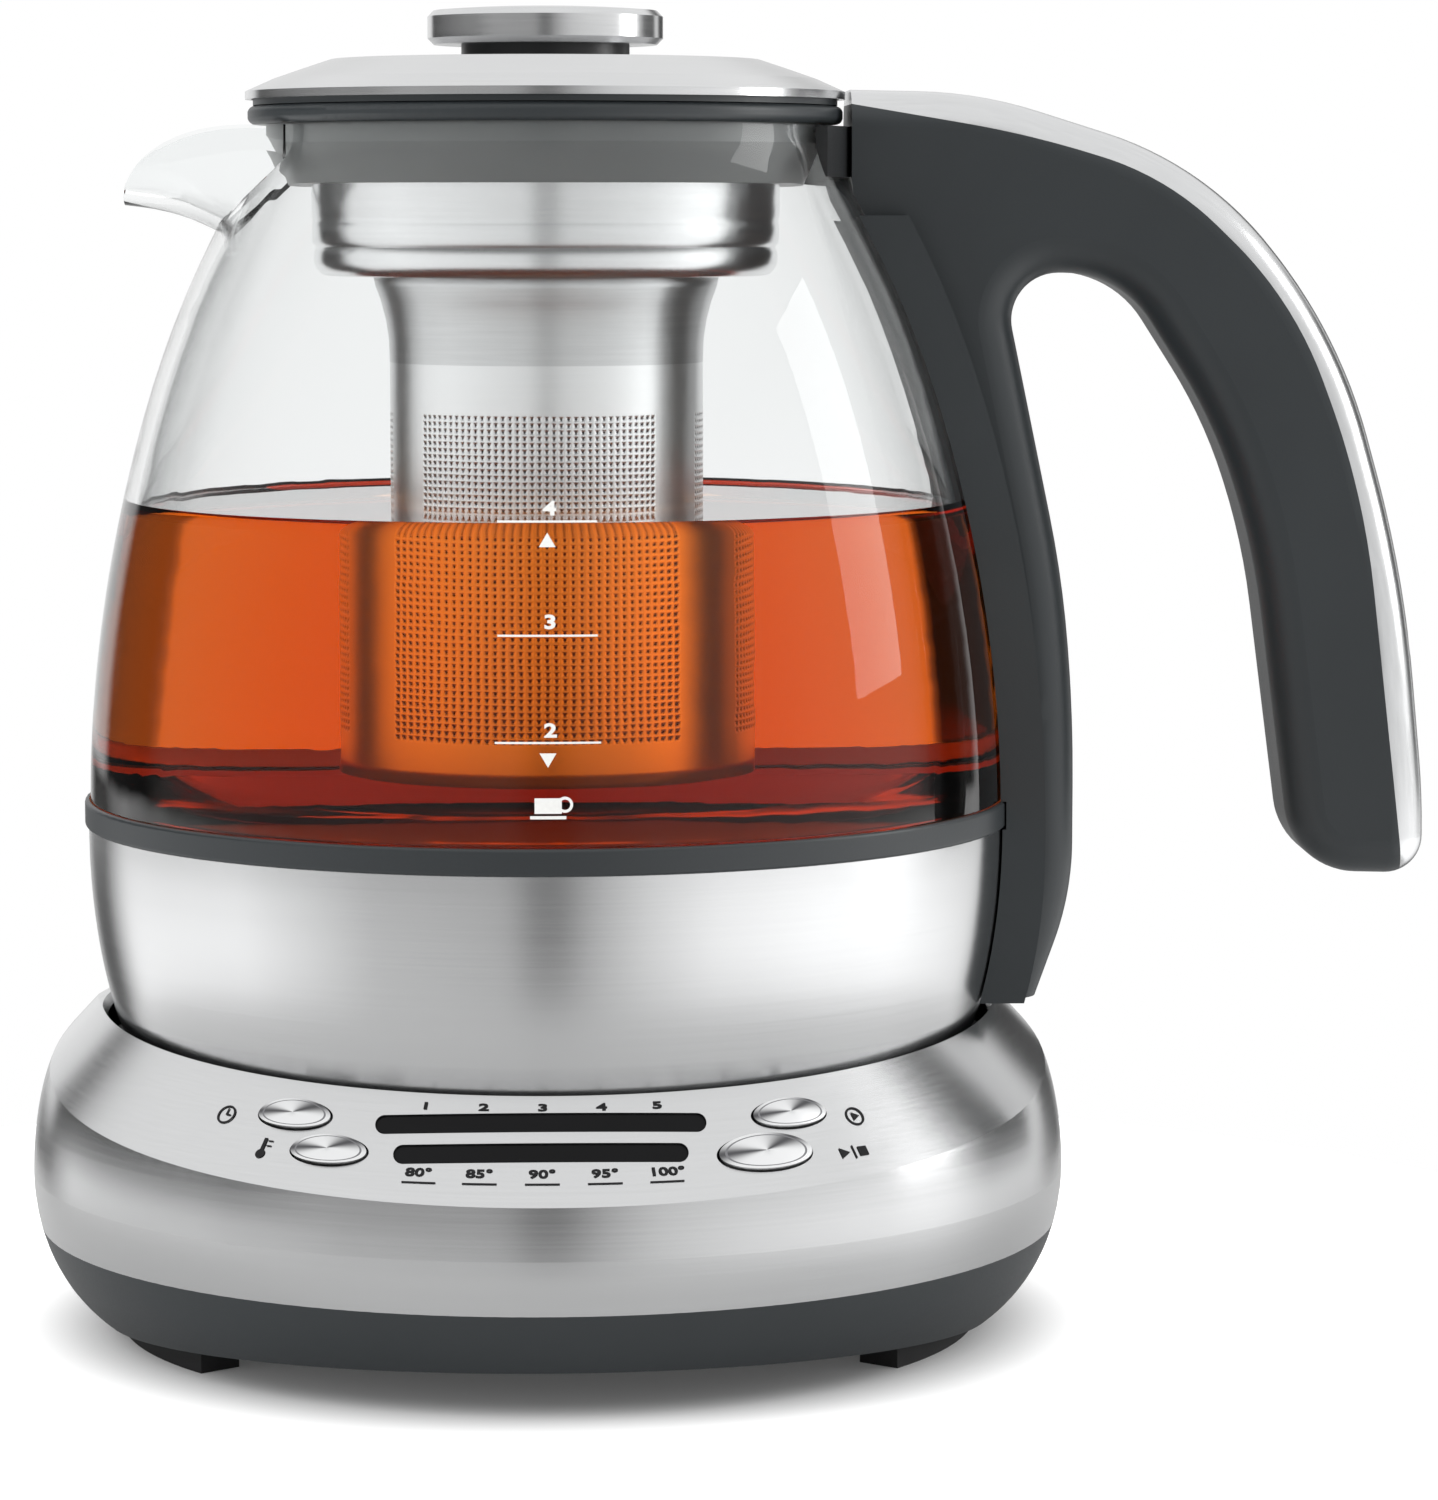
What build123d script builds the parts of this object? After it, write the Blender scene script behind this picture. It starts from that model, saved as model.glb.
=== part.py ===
from build123d import *
import math
import os

# Automatic tea maker: a glass jug with a lift-out infuser and lid, on a round heated base.
# Millimetres. +Z is up, the table is z = 0, the jug's axis is the Z axis, the control panel
# faces -Y, the handle is on the +X side and the spout on the -X side.

# ---- clearances -----------------------------------------------------------------------------
RUN_FIT = 0.05          # radial clearance of a shaft in its bore
SEAT_GAP = 0.3          # between pieces that lift or move apart
JOIN_GAP = 0.1          # between fixed pieces whose curved faces meet
SCREW_FIT = 0.25        # radial clearance of a screw in a plain hole
PILOT_FIT = 0.05        # radial clearance of a screw in its pilot hole

# ---- the size that the jug and the base follow --------------------------------------------------
BAND_R = 77.1           # radius of the jug's steel band at its top

# ---- base: outline --------------------------------------------------------------------------
BASE_R = BAND_R + 9.9   # widest radius
BASE_WIDEST_Z = 26.5    # height of the widest radius
SHOULDER_DEPTH = 12.0   # how far the rounded shoulder comes in
SHOULDER_RISE = 27.7    # how far the shoulder climbs above the widest radius
UNDERCUT_DEPTH = 21.0   # the same two sizes for the lower curve
UNDERCUT_DROP = 27.0
SEAM_Z = 17.7           # where the steel shell meets the plastic chassis
SHELL_WALL = 1.5
RECESS_R = BAND_R - 3.4         # dish that the jug stands in
RECESS_MOUTH_R = RECESS_R + 1.5 # the shell's mouth round it, at the top of its flare
RECESS_FLARE = 31.8     # degrees from the vertical
SHELL_TOP_Z = BASE_WIDEST_Z + SHOULDER_RISE

# ---- base: control panel, a cone cut into the front of the shoulder ---------------------------
PANEL_SLOPE = 47.0      # degrees below the horizontal
PANEL_SETBACK = 8.0     # the cone's axis stands this far behind the jug's axis
PANEL_TOP_R = BAND_R - 0.7      # the cone's radius at the top of the shell
SLOT_TILT = 13.0        # the display slots are pierced this far above the horizontal, degrees
SLOT_HEIGHT = 3.05
SLOT_CENTRE_X = -1.3
TIME_SLOT_WIDTH = 51.6
TIME_SLOT_DROP = 10.85  # distances down the slope from the top of the cone
TEMPERATURE_SLOT_WIDTH = 45.8
TEMPERATURE_SLOT_DROP = 16.4
SLOT_FIT = 0.1
WINDOW_SINK = 0.35      # the window lies this far under the panel's face
LED_COUNT = 5

# ---- base: buttons (angle round the panel, drop down the slope, width, height) ----------------
BUTTON_LAYOUT = {
    "steep_time_button": (-28.3, 11.3, 12.9, 5.2),
    "temperature_button": (-22.9, 17.3, 12.9, 5.2),
    "start_timer_button": (26.6, 11.4, 12.9, 5.2),
    "start_cancel_button": (22.3, 18.1, 15.8, 6.5),
}
BUTTON_FIT = 0.3        # gap round a button's cap
BUTTON_PROUD = 0.9
BUTTON_SKIRT = 1.1      # how far the cap reaches into the panel
BUTTON_CROWN = 0.7
BUTTON_TRAVEL = 1.2
STEM_R = 1.3
SWITCH_SIZE = 5.0
SWITCH_HEIGHT = 3.2
STEM_OVERLAP = 1.2      # how far the stem reaches into its switch at rest

# ---- base: boards ---------------------------------------------------------------------------
BOARD_DEPTH = 12.5      # from the panel's face to the board's front
BOARD_THICKNESS = 1.6
BUTTON_BOARD_WIDTH = 22.0
BUTTON_BOARD_HEIGHT = 12.0
DISPLAY_BOARD_WIDTH = 32.0
DISPLAY_BOARD_HEIGHT = 10.0
BOARD_DROP = 14.6
BOARD_POST_WIDTH = 6.0
BOARD_POST_DEPTH = 5.0
LED_WIDTH = 3.0
LED_HEIGHT = 1.4
LED_THICKNESS = 1.0
LED_ROW_SPACING = 4.4

# ---- base: chassis --------------------------------------------------------------------------
CHASSIS_WALL = 2.5
UNDERSIDE_Z = 2.2       # the underside's height above the table
FLOOR_THICKNESS = 2.2
TOE_START_Y = -15.0     # in front of this the underside rises
TOE_SLOPE = 4.8         # degrees
LIP_HEIGHT = 3.0        # the chassis reaches this far up inside the shell
LIP_THICKNESS = 1.6
FOOT_INNER_R = BASE_R - 22.0
FOOT_OUTER_R = BASE_R - 14.5
FOOT_SPAN = 28.0        # degrees
FOOT_ANGLES = (25.0, 155.0, 205.0, 335.0)
BASE_SCREW_CIRCLE_R = BASE_R - 32.0
BASE_SCREW_ANGLES = (45.0, 135.0, 222.0, 318.0)
BASE_STANDOFF_TOP_Z = 12.0
BASE_STANDOFF_R = 4.6
TRAY_BOSS_R = 3.6
BASE_SCREW_R = 1.5
BASE_SCREW_HEAD_R = 2.9
BASE_SCREW_HEAD_HEIGHT = 2.0
BASE_SCREW_SEAT_Z = 8.4
BASE_SCREW_LENGTH = 14.0
HEAD_POCKET_FIT = 0.4

# ---- base: cord gland, at the rear ------------------------------------------------------------
GLAND_R = 5.0
GLAND_BORE_R = 3.2
GLAND_FLANGE_R = 6.4
GLAND_FLANGE_THICKNESS = 1.6
GLAND_LENGTH = 9.0
GLAND_PAD_Y = BASE_R - 2.0      # flat that the gland's flange seats on
GLAND_PAD_R = 7.0
GLAND_PAD_LENGTH = 7.0
GLAND_Z = SEAM_Z - GLAND_PAD_R - JOIN_GAP

# ---- base: power board ------------------------------------------------------------------------
POWER_BOARD_WIDTH = 60.0
POWER_BOARD_DEPTH = 30.0
POWER_BOARD_Y = BASE_R - 43.0
POWER_BOARD_Z = 9.0
POWER_STANDOFF_R = 2.5
POWER_STANDOFF_INSET = 4.0
RELAY_SIZE = (20.0, 12.0, 15.0)
RELAY_PLACE = (-16.0, 3.0)
TRANSFORMER_SIZE = (18.0, 16.0, 14.0)
TRANSFORMER_PLACE = (14.0, 2.0)

# ---- base: seat tray and connector --------------------------------------------------------------
TRAY_WALL = 1.8
TRAY_LIP_Z = 48.8
TRAY_CORNER_R = 9.0
TRAY_FLOOR_Z = 41.7
TRAY_FIT = 0.2
CONNECTOR_R = 16.0
CONNECTOR_FLANGE_R = 19.0
CONNECTOR_FLANGE_THICKNESS = 2.0
CONNECTOR_FIT = 0.4
TOWER_R = 13.0
TOWER_BORE_R = 9.0
TOWER_TOP_Z = 29.0
HEAD_R = 14.0
HEAD_HEIGHT = 7.6
HEAD_EDGE = 1.5
SPINDLE_R = 3.0
SPINDLE_LENGTH = 9.0
CONTACT_RING_RADII = (6.0, 10.5)
CONTACT_RING_WIDTH = 1.6
CONTACT_RING_DEPTH = 2.4

# ---- jug: steel band -------------------------------------------------------------------------
BAND_TOP_Z = 84.8
BAND_CURVE_DEPTH = 16.1 # the band's side is part of an ellipse with these two half sizes
BAND_CURVE_DROP = 46.7
BAND_TURN_Z = 54.2      # where the side turns into the bottom corner
BAND_BOTTOM_R = BAND_R - 17.1
BAND_WALL = 1.2
JUG_BOTTOM_Z = TRAY_FLOOR_Z + SEAT_GAP
COVER_FIT = 0.3
COVER_THICKNESS = 2.0
COVER_POST_R = 4.0
COVER_POST_CIRCLE_R = 30.0
COVER_POST_ANGLES = (30.0, 150.0, 270.0)
COVER_SCREW_R = 1.5
COVER_SCREW_HEAD_R = 2.8
COVER_SCREW_HEAD_HEIGHT = 1.4
COVER_SCREW_LENGTH = 12.0
SOCKET_WALL = 3.0
SOCKET_HEIGHT = 20.0
SOCKET_FLANGE = 4.0
SOCKET_FLANGE_THICKNESS = 2.0
SOCKET_HEAD_FIT = 0.6

# ---- jug: heater -------------------------------------------------------------------------------
PLATE_TOP_Z = 81.2
PLATE_THICKNESS = 1.5
PLATE_FIT = 0.3
ELEMENT_R = BAND_BOTTOM_R - 10.0
ELEMENT_TUBE_R = 3.5
ELEMENT_ARC = 300.0
SENSOR_R = 7.0
SENSOR_HEIGHT = 6.0

# ---- jug: ring and glass -----------------------------------------------------------------------
RING_R = BAND_R + 0.6
RING_HEIGHT = 4.4
RING_EDGE = 0.6
RING_LIP = 0.7
RING_SEAT_RISE = 1.7
RING_BORE_R = BAND_R - 5.6
BELLY_R = BAND_R - 0.3
GLASS_WALL = 2.4
RIM_Z = 200.8
NECK_R = 48.7
# points up the outside of the glass between the belly and the neck: radius, height
GLASS_CURVE = ((74.4, 119.4), (69.9, 142.6), (61.7, 168.9), (53.7, 186.1), (49.5, 195.0))

# ---- jug: spout (distance from the axis, lowest height, half width, depth of the curved bottom) --
SPOUT_REACH = 70.0
SPOUT_TIP_Z = 189.8
SPOUT_SECTIONS = (
    (42.0, 176.0, 26.0, 20.0),
    (50.0, 180.6, 20.0, 16.0),
    (57.0, 184.6, 14.5, 11.0),
    (64.0, 186.9, 9.5, 7.5),
    (72.0, 188.0, 5.5, 4.6),
)
SPOUT_RIM_BOW = (61.5, 198.6)   # a point on the spout's arched edge, seen from the side

# ---- jug: handle ---------------------------------------------------------------------------------
HANDLE_TOP_Z = 206.8
HANDLE_BOTTOM_Z = 55.3
HANDLE_HALF_WIDTH = 12.5
HANDLE_ROUND = 6.0
BRACKET_HALF_WIDTH = 17.0
BRACKET_THICKNESS = 5.5
HANDLE_LID_GAP = 0.5    # between the lid's edge and the handle
# corners of the handle's outline (outward from the belly, height): over the top and down the outer
# edge, round the free end, up the grip, over the finger gap and down the spine
HANDLE_CORNERS = (
    (-5.0, 206.4), (32.8, 194.5), (55.6, 166.0), (66.9, 126.0), (70.5, 89.0), (70.5, 75.7),
    (48.6, 76.2), (41.4, 130.9), (34.6, 151.7), (18.7, 176.6), (-1.2, 176.6),
    (9.5, 125.3), (11.4, 102.4), (11.4, 72.5), (5.2, HANDLE_BOTTOM_Z),
)
# corners of the line where the steel trim meets the grip
TRIM_CORNERS = ((3.5, 199.3), (26.0, 192.3), (47.1, 171.9), (59.1, 140.0), (66.8, 74.0))
CORNER_SHARE = 0.48     # how much of the shorter run each rounded corner takes
TRIM_START_THICKNESS = 2.4
CLIP_THICKNESS = 2.3
CLIP_BOTTOM_Z = 192.4
CLIP_SPAN = 52.0        # degrees round the neck
HANDLE_SCREW_HEIGHTS = (62.0, 74.0)
HANDLE_SCREW_R = 1.5
HANDLE_SCREW_HEAD_R = 2.8
HANDLE_SCREW_HEAD_HEIGHT = 1.5
HANDLE_SCREW_HEAD_GAP = 0.8     # from the band's curved inner wall to the flat head
HANDLE_SCREW_LENGTH = 5.4

# ---- infuser -----------------------------------------------------------------------------------
HANGER_R = 49.5
HANGER_HEIGHT = 3.0
HANGER_EDGE = 1.2
HANGER_BORE_R = 43.4
PLUG_FIT = 0.4          # between the plug and the neck
PLUG_STEP_DROP = 3.0
PLUG_TAPER = 3.0
PLUG_BOTTOM_Z = 191.1
COLLAR_R = 39.0
COLLAR_WALL = 1.0
COLLAR_TOP_Z = 196.0
COLLAR_GROOVE_Z = 182.8
COLLAR_GROOVE_DEPTH = 1.8
COLLAR_LOWER_R = 38.3
COLLAR_BOTTOM_Z = 175.8
COLLAR_BOTTOM_ROUND = 1.6
BASKET_R = 26.2
BASKET_WALL = 0.8
BASKET_MOUTH_R = 28.9
BASKET_WAIST_Z = 162.0
BASKET_BOTTOM_Z = 93.3
STRAINER_TOP_Z = 153.5
STRAINER_BOTTOM_Z = 100.0
STRAINER_PANELS = 4
STRAINER_SPAN = 64.0    # degrees of one perforated panel
STRAINER_ROWS = 10
STRAINER_COLUMNS = 6
STRAINER_HOLE_R = 0.9
MESH_THICKNESS = 0.8
MESH_RINGS = ((7.0, 6), (14.0, 12), (20.5, 18))   # circle radius, holes on it

# ---- lid -----------------------------------------------------------------------------------------
LID_R = 49.9
LID_EDGE_HEIGHT = 1.3
LID_WALL = 1.0
# points up the dome: inward from the edge, above the edge
LID_DOME = ((4.7, 2.1), (9.6, 3.8), (14.1, 5.3))
LID_TOP_RISE = 5.6
LINER_THICKNESS = 1.0
LINER_SETBACK = 0.9
LINER_PLUG_R = 42.2
LINER_PLUG_DEPTH = 7.0
LINER_WALL = 2.0
LID_SEAL_R = 1.0
LID_SEAL_DROP = 3.4
NECK_PIECE_R = 14.0
NECK_PIECE_HEIGHT = 2.2
KNOB_R = 19.6
KNOB_HEIGHT = 5.6
KNOB_EDGE = 1.0
KNOB_CROWN = 0.7
KNOB_SCREW_R = 2.0
KNOB_SCREW_HEAD_R = 4.0
KNOB_SCREW_HEAD_HEIGHT = 2.0
KNOB_SCREW_GRIP = 4.0

BIG = 300.0             # larger than the whole part, for cutting tools


# ---- helpers ---------------------------------------------------------------------------------------
def turned(section):
    """Solid of revolution about Z of a section drawn as (radius, height), its seam at the rear."""
    return Rot(0, 0, 90) * revolve(Plane.XZ * section, Axis.Z)


def turned_points(*points):
    return turned(make_face(Polyline(*points, close=True)))


def ring(outer_r, inner_r, bottom, top):
    return turned_points((inner_r, bottom), (outer_r, bottom), (outer_r, top), (inner_r, top))


def disc(radius, bottom, top):
    return Pos(0, 0, (bottom + top) / 2) * Cylinder(radius, top - bottom)


def at_angle(radius, angle):
    """A vertical location on a circle round the Z axis."""
    turn = math.radians(angle)
    return Pos(radius * math.cos(turn), radius * math.sin(turn), 0)


def side_prism(face, half_width):
    """A section drawn as (x, z), as thick as twice the half width and centred on y = 0."""
    return extrude(Plane.XZ * face, half_width, both=True)


def arc_section(inner_r, outer_r, bottom, top, middle, span):
    """Part of a ring, centred on an angle."""
    corners = ((inner_r, bottom), (outer_r, bottom), (outer_r, top), (inner_r, top))
    face = make_face(Polyline(*corners, close=True))
    return Rot(0, 0, middle - span / 2) * revolve(Plane.XZ * face, Axis.Z, span)


def solids_of(*shapes):
    return Compound(children=[solid for shape in shapes for solid in shape.solids()])


# ---- base: outline and panel ------------------------------------------------------------------------
def shoulder_blank(inset, foot_z):
    """Everything under the rounded shoulder, from foot_z up, shrunk by inset."""
    centre = (BASE_R - SHOULDER_DEPTH, BASE_WIDEST_Z)
    upper = EllipticalCenterArc(centre, SHOULDER_DEPTH - inset, SHOULDER_RISE - inset, 0, arc_size=90)
    low_centre = (BASE_R - UNDERCUT_DEPTH, BASE_WIDEST_Z)
    depth = UNDERCUT_DEPTH - inset
    drop = UNDERCUT_DROP - inset
    turn = math.degrees(math.asin((BASE_WIDEST_Z - foot_z) / drop))
    lower = EllipticalCenterArc(low_centre, depth, drop, -turn, arc_size=turn)
    top = upper @ 1
    foot = lower @ 0
    rest = Polyline(top, (0, top.Y), (0, foot.Y), foot)
    return turned(make_face([lower, upper] + rest.edges()))


def panel_cone(depth):
    """The space under the panel's cone, sunk by depth along the face's normal."""
    slope = math.radians(PANEL_SLOPE)
    top_r = PANEL_TOP_R - depth / math.sin(slope)
    foot_r = top_r + SHELL_TOP_Z / math.tan(slope)
    apex_z = SHELL_TOP_Z + top_r * math.tan(slope)
    return Pos(0, PANEL_SETBACK, 0) * turned_points((0, 0), (foot_r, 0), (0, apex_z))


def panel_plane(angle, drop, depth=0.0):
    """A plane on the panel's cone. Its z axis is the outward normal and its x axis is level."""
    turn = math.radians(angle)
    slope = math.radians(PANEL_SLOPE)
    outward = Vector(math.sin(turn), -math.cos(turn), 0)
    reach = PANEL_TOP_R + drop * math.cos(slope)
    foot = Vector(0, PANEL_SETBACK, SHELL_TOP_Z - drop * math.sin(slope)) + outward * reach
    normal = outward * math.sin(slope) + Vector(0, 0, math.cos(slope))
    level = Vector(math.cos(turn), math.sin(turn), 0)
    return Plane(origin=foot - normal * depth, x_dir=level, z_dir=normal)


def slot_prism(width, drop, fit):
    """The shape that pierces one display slot."""
    foot = panel_plane(0, drop).origin
    tilt = math.radians(SLOT_TILT)
    out = Vector(0, -math.cos(tilt), math.sin(tilt))
    plane = Plane(origin=(SLOT_CENTRE_X, foot.Y, foot.Z), x_dir=(1, 0, 0), z_dir=out)
    face = plane * SlotOverall(width - 2 * fit, SLOT_HEIGHT - 2 * fit)
    return extrude(face, BASE_R / 4, both=True)


def button_frame(name, depth=0.0):
    angle, drop, _, _ = BUTTON_LAYOUT[name]
    return panel_plane(angle, drop, depth)


def recess_mouth():
    """The flared hole in the top of the shell that the jug's band passes through."""
    slope = math.tan(math.radians(RECESS_FLARE))
    foot_r = RECESS_MOUTH_R - (SHELL_TOP_Z - SEAM_Z) * slope
    top_z = SHELL_TOP_Z * 2
    return turned_points((0, SEAM_Z), (foot_r, SEAM_Z), (RECESS_MOUTH_R + SHELL_TOP_Z * slope, top_z), (0, top_z))


def make_base_shell():
    outer = shoulder_blank(0, SEAM_Z) & panel_cone(0)
    inner = shoulder_blank(SHELL_WALL, SEAM_Z - SHELL_WALL) & panel_cone(SHELL_WALL)
    shell = outer - inner - recess_mouth()
    for name, (_, _, width, height) in BUTTON_LAYOUT.items():
        hole = button_frame(name) * Ellipse(width / 2 + BUTTON_FIT, height / 2 + BUTTON_FIT)
        shell -= extrude(hole, SHELL_WALL * 3, both=True)
    shell -= slot_prism(TIME_SLOT_WIDTH, TIME_SLOT_DROP, 0)
    shell -= slot_prism(TEMPERATURE_SLOT_WIDTH, TEMPERATURE_SLOT_DROP, 0)
    return shell


# ---- base: chassis ----------------------------------------------------------------------------------
def below_underside(lift):
    """The space below the chassis's underside, which rises towards the front, raised by lift."""
    flat_z = UNDERSIDE_Z + lift
    front_z = flat_z + (BASE_R * 2 + TOE_START_Y) * math.tan(math.radians(TOE_SLOPE))
    face = make_face(Polyline(
        (BASE_R * 2, -BASE_R), (BASE_R * 2, flat_z), (TOE_START_Y, flat_z),
        (-BASE_R * 2, front_z), (-BASE_R * 2, -BASE_R), close=True))
    return extrude(Plane.YZ * face, BASE_R * 2, both=True)


def board_post(plane):
    """A pillar from the chassis floor to the back of a slanted board."""
    top = Pos(0, 0, -BASE_R / 2) * Box(BOARD_POST_WIDTH, BOARD_POST_DEPTH, BASE_R)
    under_board = extrude(plane * Rectangle(BASE_R, BASE_R), -BASE_R)
    return (Pos(plane.origin) * Rot(0, 0, board_turn(plane)) * top) & under_board


def board_turn(plane):
    return math.degrees(math.atan2(plane.x_dir.Y, plane.x_dir.X))


def board_back(angle):
    return panel_plane(angle, BOARD_DROP, BOARD_DEPTH + BOARD_THICKNESS)


def side_board_angles():
    """The two button boards stand halfway between their two buttons."""
    names = list(BUTTON_LAYOUT)
    left = (BUTTON_LAYOUT[names[0]][0] + BUTTON_LAYOUT[names[1]][0]) / 2
    right = (BUTTON_LAYOUT[names[2]][0] + BUTTON_LAYOUT[names[3]][0]) / 2
    return left, right


def along_y(radius, front, back):
    """A cylinder on the cord gland's axis."""
    middle = Pos(0, (front + back) / 2, GLAND_Z) * Rot(90, 0, 0)
    return middle * Cylinder(radius, back - front)


def power_board_corners():
    dx = POWER_BOARD_WIDTH / 2 - POWER_STANDOFF_INSET
    dy = POWER_BOARD_DEPTH / 2 - POWER_STANDOFF_INSET
    return [(x, POWER_BOARD_Y + y) for x in (-dx, dx) for y in (-dy, dy)]


def make_base_chassis():
    outer = shoulder_blank(0, UNDERSIDE_Z) & disc(BASE_R * 2, 0, SEAM_Z)
    outer -= below_underside(0)
    inner = shoulder_blank(CHASSIS_WALL, UNDERSIDE_Z + FLOOR_THICKNESS) - below_underside(FLOOR_THICKNESS)
    chassis = outer - inner
    lip_foot = SEAM_Z - LIP_HEIGHT
    lip = shoulder_blank(SHELL_WALL + JOIN_GAP, lip_foot)
    lip -= shoulder_blank(SHELL_WALL + JOIN_GAP + LIP_THICKNESS, lip_foot)
    chassis += lip & disc(BASE_R * 2, lip_foot, SEAM_Z + LIP_HEIGHT)

    above_floor = disc(BASE_R * 2, 0, SHELL_TOP_Z) - below_underside(0)
    fittings = ring(TOWER_R, TOWER_BORE_R, 0, TOWER_TOP_Z)
    for angle in BASE_SCREW_ANGLES:
        fittings += at_angle(BASE_SCREW_CIRCLE_R, angle) * disc(BASE_STANDOFF_R, 0, BASE_STANDOFF_TOP_Z)
    for x, y in power_board_corners():
        fittings += Pos(x, y) * disc(POWER_STANDOFF_R, 0, POWER_BOARD_Z)
    for angle in (0.0, *side_board_angles()):
        fittings += board_post(board_back(angle))
    chassis += fittings & above_floor

    for angle in BASE_SCREW_ANGLES:
        place = at_angle(BASE_SCREW_CIRCLE_R, angle)
        chassis -= place * disc(BASE_SCREW_HEAD_R + HEAD_POCKET_FIT, -1, BASE_SCREW_SEAT_Z)
        chassis -= place * disc(BASE_SCREW_R + SCREW_FIT, 0, BASE_STANDOFF_TOP_Z * 2)

    chassis += along_y(GLAND_PAD_R, GLAND_PAD_Y - GLAND_PAD_LENGTH, GLAND_PAD_Y)
    chassis -= along_y(GLAND_PAD_R, GLAND_PAD_Y, BASE_R * 2)
    return chassis - along_y(GLAND_R + JOIN_GAP, GLAND_PAD_Y - GLAND_LENGTH - SEAT_GAP, BASE_R * 2)


def make_base_feet():
    feet = []
    for angle in FOOT_ANGLES:
        pad = arc_section(FOOT_INNER_R, FOOT_OUTER_R, 0, UNDERSIDE_Z * 5, angle, FOOT_SPAN)
        feet.append(pad & below_underside(0))
    return solids_of(*feet)


def make_base_screws():
    screws = []
    head_z = BASE_SCREW_SEAT_Z - BASE_SCREW_HEAD_HEIGHT
    for angle in BASE_SCREW_ANGLES:
        screw = disc(BASE_SCREW_R, BASE_SCREW_SEAT_Z, BASE_SCREW_SEAT_Z + BASE_SCREW_LENGTH)
        screw += disc(BASE_SCREW_HEAD_R, head_z, BASE_SCREW_SEAT_Z)
        screws.append(at_angle(BASE_SCREW_CIRCLE_R, angle) * screw)
    return solids_of(*screws)


def make_cord_gland():
    flange = along_y(GLAND_FLANGE_R, GLAND_PAD_Y, GLAND_PAD_Y + GLAND_FLANGE_THICKNESS)
    flange = chamfer(flange.edges().sort_by(Axis.Y)[-1], GLAND_FLANGE_THICKNESS / 3)
    gland = flange + along_y(GLAND_R, GLAND_PAD_Y - GLAND_LENGTH, GLAND_PAD_Y)
    return gland - along_y(GLAND_BORE_R, 0, BASE_R * 2)


# ---- base: panel hardware ------------------------------------------------------------------------------
def make_window(width, drop):
    skin = panel_cone(WINDOW_SINK) - panel_cone(SHELL_WALL)
    return slot_prism(width, drop, SLOT_FIT) & skin


def make_button_boards():
    boards = []
    for angle in side_board_angles():
        face = board_back(angle) * Rectangle(BUTTON_BOARD_WIDTH, BUTTON_BOARD_HEIGHT)
        boards.append(extrude(face, BOARD_THICKNESS))
    return solids_of(*boards)


def make_display_board():
    face = board_back(0) * Rectangle(DISPLAY_BOARD_WIDTH, DISPLAY_BOARD_HEIGHT)
    return extrude(face, BOARD_THICKNESS)


def make_display_leds():
    leds = []
    front = panel_plane(0, BOARD_DROP, BOARD_DEPTH)
    pitch = DISPLAY_BOARD_WIDTH / LED_COUNT
    for row in (-LED_ROW_SPACING / 2, LED_ROW_SPACING / 2):
        for number in range(LED_COUNT):
            x = (number - (LED_COUNT - 1) / 2) * pitch
            face = front * Pos(x, row) * Rectangle(LED_WIDTH, LED_HEIGHT)
            leds.append(extrude(face, LED_THICKNESS))
    return solids_of(*leds)


def make_tact_switches():
    """Each switch points at its button and is cut off flat where it sits on its board."""
    left, right = side_board_angles()
    switches = []
    for number, name in enumerate(BUTTON_LAYOUT):
        board = board_back(left if number < 2 else right)
        in_front = extrude(board.offset(BOARD_THICKNESS) * Rectangle(BASE_R, BASE_R), BASE_R / 2)
        frame = button_frame(name, BOARD_DEPTH - SWITCH_HEIGHT)
        body = extrude(frame * Rectangle(SWITCH_SIZE, SWITCH_SIZE), -SWITCH_HEIGHT * 2)
        bore_depth = STEM_OVERLAP + BUTTON_TRAVEL + SEAT_GAP
        switches.append((body & in_front) - extrude(frame * Circle(STEM_R + RUN_FIT), -bore_depth))
    return solids_of(*switches)


def make_button(name):
    _, _, width, height = BUTTON_LAYOUT[name]
    frame = button_frame(name)
    outline = frame.offset(-BUTTON_SKIRT) * Ellipse(width / 2, height / 2)
    cap = extrude(outline, BUTTON_SKIRT + BUTTON_PROUD)
    crown_r = (width ** 2 / 4 + BUTTON_CROWN ** 2) / (2 * BUTTON_CROWN)
    dome = frame * Pos(0, 0, BUTTON_PROUD - crown_r) * Sphere(crown_r)
    stem_end = BOARD_DEPTH - SWITCH_HEIGHT + STEM_OVERLAP
    stem = extrude(frame.offset(-stem_end) * Circle(STEM_R), stem_end - BUTTON_SKIRT)
    return (cap & dome) + stem


def make_power_board():
    face = Pos(0, POWER_BOARD_Y, POWER_BOARD_Z) * Rectangle(POWER_BOARD_WIDTH, POWER_BOARD_DEPTH)
    return extrude(face, BOARD_THICKNESS)


def on_power_board(size, place):
    width, depth, height = size
    x, y = place
    middle_z = POWER_BOARD_Z + BOARD_THICKNESS + height / 2
    return Pos(x, POWER_BOARD_Y + y, middle_z) * Box(width, depth, height)


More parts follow.
